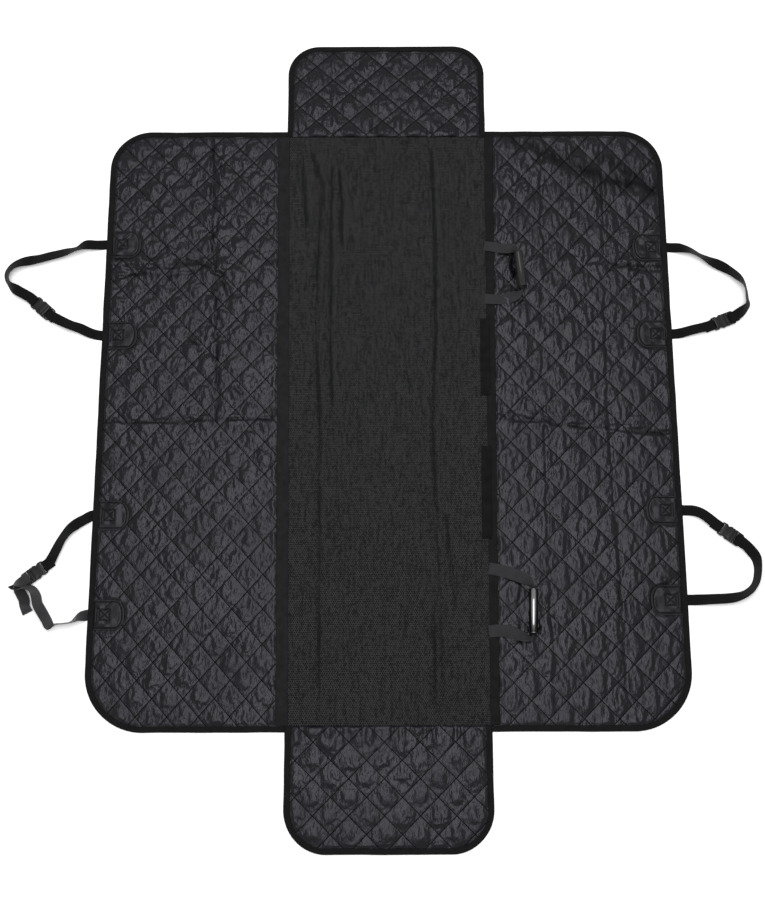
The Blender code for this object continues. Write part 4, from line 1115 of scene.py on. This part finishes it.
buckle = {
    "cavity": (-0.0215, 0.001, 0.0147, 0.0026),  # from x, to x, half width and half height
    # places along the buckle, half width and half thickness there, in millimetres
    "shell": [(-27.3, 14.8, 3.3), (-26.9, 16.0, 4.2), (-26.0, 16.5, 4.6), (-22.6, 16.5, 4.7), (-20.4, 15.4, 4.7),
              (-18.4, 13.6, 4.7), (-15.5, 12.7, 4.6), (-12.5, 12.5, 4.6), (-9.5, 12.9, 4.6), (-7.2, 14.6, 4.7),
              (-5.4, 16.4, 4.8), (-1.2, 16.5, 4.8), (-0.3, 16.1, 4.5), (0.0, 15.3, 4.0)],
    "shoulder": [(0.4, 15.0, 3.9), (0.8, 16.2, 4.5), (2.0, 16.6, 4.7), (5.4, 16.6, 4.6), (7.2, 16.2, 3.9),
                 (7.8, 15.4, 3.0)],
    # outlines: x, y and corner radius in millimetres
    "arm": [(2.4, 9.6, 0.4), (-13.5, 9.2, 2), (-19.5, 9.4, 0.8), (-19.5, 12.0, 1.0), (-12.2, 17.0, 2.5),
            (-6.7, 17.0, 1.2), (-6.7, 13.0, 0.6), (2.4, 13.2, 0.4)],
    "guide": [(2.4, -2.4, 0.4), (2.4, 2.4, 0.4), (-14.5, 2.0, 0.8), (-17.0, 0, 0.8), (-14.5, -2.0, 0.8)],
    "rearFrame": [(-24.5, -14.9, 1), (-32.3, -14.9, 2.4), (-32.3, 14.9, 2.4), (-24.5, 14.9, 1)],
    "ladderFrame": [(4.5, -14.9, 1), (4.5, 14.9, 1), (22.4, 14.9, 3.5), (22.4, -14.9, 3.5)],
    "bar": (3.0, 3.6), "armThick": 0.0048,
    "look": {"color": (0.0150, 0.0150, 0.0160), "roughness": 0.34, "specular": 0.5, "grain": 0.00005},
}
buckleMaterial = hardMaterial("buckle", buckle["look"])


# Points round the superellipse |c|^(2/power) + |s|^(2/power) = 1
def superellipse(count, power):
    angle = np.linspace(0, 2 * math.pi, count, endpoint=False)
    return [np.sign(f) * np.abs(f) ** power for f in (np.cos(angle), np.sin(angle))]


# A body of superellipse sections set one behind the other
def loftPart(stations, power=0.4, count=28):
    stations = np.array(stations) * mm
    c, s = superellipse(count, power)
    points = np.stack([np.tile(stations[:, :1], (1, count)), stations[:, 1:2] * c, stations[:, 2:3] * s], -1)
    return points.reshape(-1, 3), tubeFaces(len(stations), count)


# A rounded bar carried along a flat path; a closed path makes a frame
def barPart(path, closed=False, power=0.6, count=16):
    wide, tall = (0.5 * size * mm for size in buckle["bar"])
    ahead = unit(np.roll(path, -1, 0) - np.roll(path, 1, 0) if closed else np.gradient(path, axis=0))
    c, s = superellipse(count, power)
    side = np.stack([-ahead[:, 1], ahead[:, 0]], 1)
    flat = path[:, None] + side[:, None] * (wide * c)[None, :, None]
    points = np.concatenate([flat, np.tile(tall * s, (len(path), 1))[..., None]], -1).reshape(-1, 3)
    if closed:
        return points, (gridFaces(len(path) + 1, count, closedColumns=True) % len(points)).tolist()
    return points, tubeFaces(len(path), count)


# An outline made into a plate: four rings, the outer two drawn in by a small chamfer
def platePart(outline, thick, chamfer=0.0005):
    ahead = unit(np.roll(outline, -1, 0) - np.roll(outline, 1, 0))
    x, y = outline.T
    turn = np.sign((x * np.roll(y, -1) - np.roll(x, -1) * y).sum())
    inward = turn * np.stack([-ahead[:, 1], ahead[:, 0]], 1)
    rings = [(chamfer, -thick / 2), (0, -thick / 2 + chamfer), (0, thick / 2 - chamfer), (chamfer, thick / 2)]
    points = [np.concatenate([outline + inward * k, np.full((len(outline), 1), z)], 1) for k, z in rings]
    return np.concatenate(points), tubeFaces(len(rings), len(outline))


# The same corners in metres, rounded off
def buckleOutline(corners):
    return roundedPath([(x * mm, y * mm, radius * mm) for x, y, radius in corners], 0.0007)


# The shell with the cavity for the plug cut out of it, which leaves an opening at each narrow side
def hollowShell():
    points, faces = loftPart(buckle["shell"])
    low, high, wide, tall = buckle["cavity"]
    box = [(x, y, z) for x in (low, high) for y in (-wide, wide) for z in (-tall, tall)]
    sides = [(0, 1, 3, 2), (4, 6, 7, 5), (0, 4, 5, 1), (2, 3, 7, 6), (0, 2, 6, 4), (1, 5, 7, 3)]
    shapes = []
    for label, data in (("shell", (points.tolist(), faces)), ("cavity", (box, sides))):
        mesh = bpy.data.meshes.new(label)
        mesh.from_pydata(data[0], [], data[1])
        faceOutward(mesh)
        shapes.append(addObject(label, mesh))
    cutter = shapes[0].modifiers.new("cavity", "BOOLEAN")
    cutter.operation, cutter.solver, cutter.object = "DIFFERENCE", "EXACT", shapes[1]
    made = shapes[0].evaluated_get(bpy.context.evaluated_depsgraph_get()).to_mesh()
    points = np.empty(len(made.vertices) * 3)
    made.vertices.foreach_get("co", points)
    faces = [list(face.vertices) for face in made.polygons]
    for shape in shapes:
        bpy.data.objects.remove(shape)
    return points.reshape(-1, 3), faces


# One half of a buckle: its parts as one piece, set in its place
def bucklePiece(name, place, parts, node):
    points, faces = [], []
    for partPoints, partFaces in parts:
        first = sum(len(some) for some in points)
        points.append(partPoints)
        faces += [[first + k for k in face] for face in partFaces]
    points = np.concatenate(points)
    where = np.array(buckleFrame(place))
    points = points @ where[:3, :3].T + where[:3, 3]
    piece = meshPiece(name, points, faces, buckleMaterial, outward=True)
    piece.data.set_sharp_from_angle(angle=math.radians(40))
    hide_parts(node)


mirrored = [(x, -y, radius) for x, y, radius in buckle["arm"]]
crossBar = np.array([(ladderBar, -0.0148), (ladderBar, 0.0148)])
socketParts = [hollowShell(), barPart(buckleOutline(buckle["rearFrame"]))]
plugParts = [loftPart(buckle["shoulder"]), barPart(buckleOutline(buckle["ladderFrame"]), closed=True),
             barPart(crossBar)]
for corners in (buckle["arm"], mirrored, buckle["guide"]):
    plugParts.append(platePart(buckleOutline(corners), buckle["armThick"]))
for place in buckles:
    end, side = place.split("_")
    for half, parts in (("socket", socketParts), ("plug", plugParts)):
        bucklePiece(f"{end}{side.title()}Buckle{half.title()}", place, parts, f"{place}_buckle_{half}")
print("buckles made")


tubes = {
    "far": {"ends": ((319.4, 405), (328, 315.5)),
            "look": {"color": (0.030, 0.0295, 0.0315), "roughness": 0.30, "specular": 0.7, "grain": 0.00002}},
    "near": {"ends": ((332, -417), (329, -518)),
             "look": {"color": (0.62, 0.62, 0.64), "roughness": 0.12, "specular": 0.5, "grain": 0.00002,
                      # the edge colour is painted shade on the sides that turn away from the camera
                      "metal": 1.0, "edge": (0.030, 0.030, 0.032)}},
    "radius": 0.0104, "wall": 0.0016, "lip": 0.0006, "lift": 0.0190,
}


# A tube with rolled lips: its section turned about the line between its ends
def tubePiece(place):
    start, stop = (np.array([*end, tubes["lift"] / mm]) * mm for end in tubes[place]["ends"])
    length = np.linalg.norm(stop - start)
    r, lip, inner = tubes["radius"], tubes["lip"], tubes["radius"] - tubes["wall"]
    swell = 2 * lip * np.sin(math.pi * np.linspace(0, 1, 9))
    outer = [(r + k - lip * 0.5, 0.0030 * t) for k, t in zip(swell, np.linspace(0, 1, 9))]
    outer += [(p, length - q) for p, q in reversed(outer)]
    section = np.array([(inner, 0.0)] + outer + [(inner, length)])
    ahead = (stop - start) / length
    side = np.cross(ahead, (0, 0, 1))
    side /= np.linalg.norm(side)
    up = np.cross(side, ahead)
    angle = np.linspace(0, 2 * math.pi, 48, endpoint=False)
    ring = np.cos(angle)[:, None] * side + np.sin(angle)[:, None] * up
    points = start + ring[:, None] * section[None, :, :1] + ahead * section[None, :, 1:]
    faces = gridFaces(len(angle) + 1, len(section), closedColumns=True) % (len(angle) * len(section))
    material = hardMaterial(f"{place}Tube", tubes[place]["look"])
    piece = meshPiece(f"{place}Tube", points, faces, material, outward=True)
    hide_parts(f"{place}_anchor_tube")


for place in ("far", "near"):
    tubePiece(place)
print("tubes made")


studio = {
    "floor": 0.9, "floorSeen": 2.4, "world": 0.3,
    "softbox": {"place": (0.0, 0.35, 3.2), "width": 2.2, "length": 4.2, "power": 43},
}

# The floor is white where the camera or a reflection sees it, and darker for the light that it throws back
floorLook = {"color": (studio["floor"],) * 3, "roughness": 1.0, "specular": 0.0}
floorMaterial, floorTree, floorShader = newMaterial("floor", floorLook)
rays = addNode(floorTree, "LightPath").outputs
seen = mathNode(floorTree, "MAXIMUM", rays["Is Camera Ray"], rays["Is Glossy Ray"])
floorTree.links.new(shadeNode(floorTree, seen, floorLook["color"], (studio["floorSeen"],) * 3),
                    floorShader["Base Color"])
floorMesh = bpy.data.meshes.new("floor")
corners = [(-8, -8), (8, -8), (8, 8), (-8, 8)]
floorMesh.from_pydata([(*corner, -0.0002) for corner in corners], [], [(0, 1, 2, 3)])
floorMesh.materials.append(floorMaterial)
floor = addObject("floor", floorMesh)

softbox = studio["softbox"]
lamp = bpy.data.lights.new("softbox", "AREA")
lamp.shape = "RECTANGLE"
lamp.size, lamp.size_y = softbox["width"], softbox["length"]
lamp.energy = softbox["power"]
addObject("softbox", lamp).location = softbox["place"]

# The world is white, and its light is weaker than what the camera sees of it
world = bpy.data.worlds.new("studio")
world.use_nodes = True
worldTree = world.node_tree
sky = worldTree.nodes["Background"].inputs
sky["Color"].default_value = (1, 1, 1, 1)
seen = addNode(worldTree, "LightPath").outputs["Is Camera Ray"]
worldTree.links.new(rampNode(worldTree, seen, 0.0, 1.0, studio["world"], 1.0), sky["Strength"])
bpy.context.scene.world = world

view = {
    "aim": (-0.01153, -0.08527, 0.0), "distance": 3.0607, "elevation": 76.106, "roll": -0.159,
    "lens": 52.0,
}
tilt, roll = math.radians(view["elevation"]), math.radians(view["roll"])
ahead = Vector((0, math.cos(tilt), -math.sin(tilt)))
up = Vector((0, math.sin(tilt), math.cos(tilt)))
right = Vector((1, 0, 0))
right, up = right * math.cos(roll) + up * math.sin(roll), -right * math.sin(roll) + up * math.cos(roll)
cameraData = bpy.data.cameras.new("camera")
cameraData.lens = view["lens"]
camera = addObject("camera", cameraData)
camera.matrix_world = Matrix.Translation(Vector(view["aim"]) - ahead * view["distance"]) @ Matrix(
    (right, up, -ahead)).transposed().to_4x4()
bpy.context.scene.camera = camera
bpy.context.scene.view_settings.view_transform = "Standard"
print("stage made")
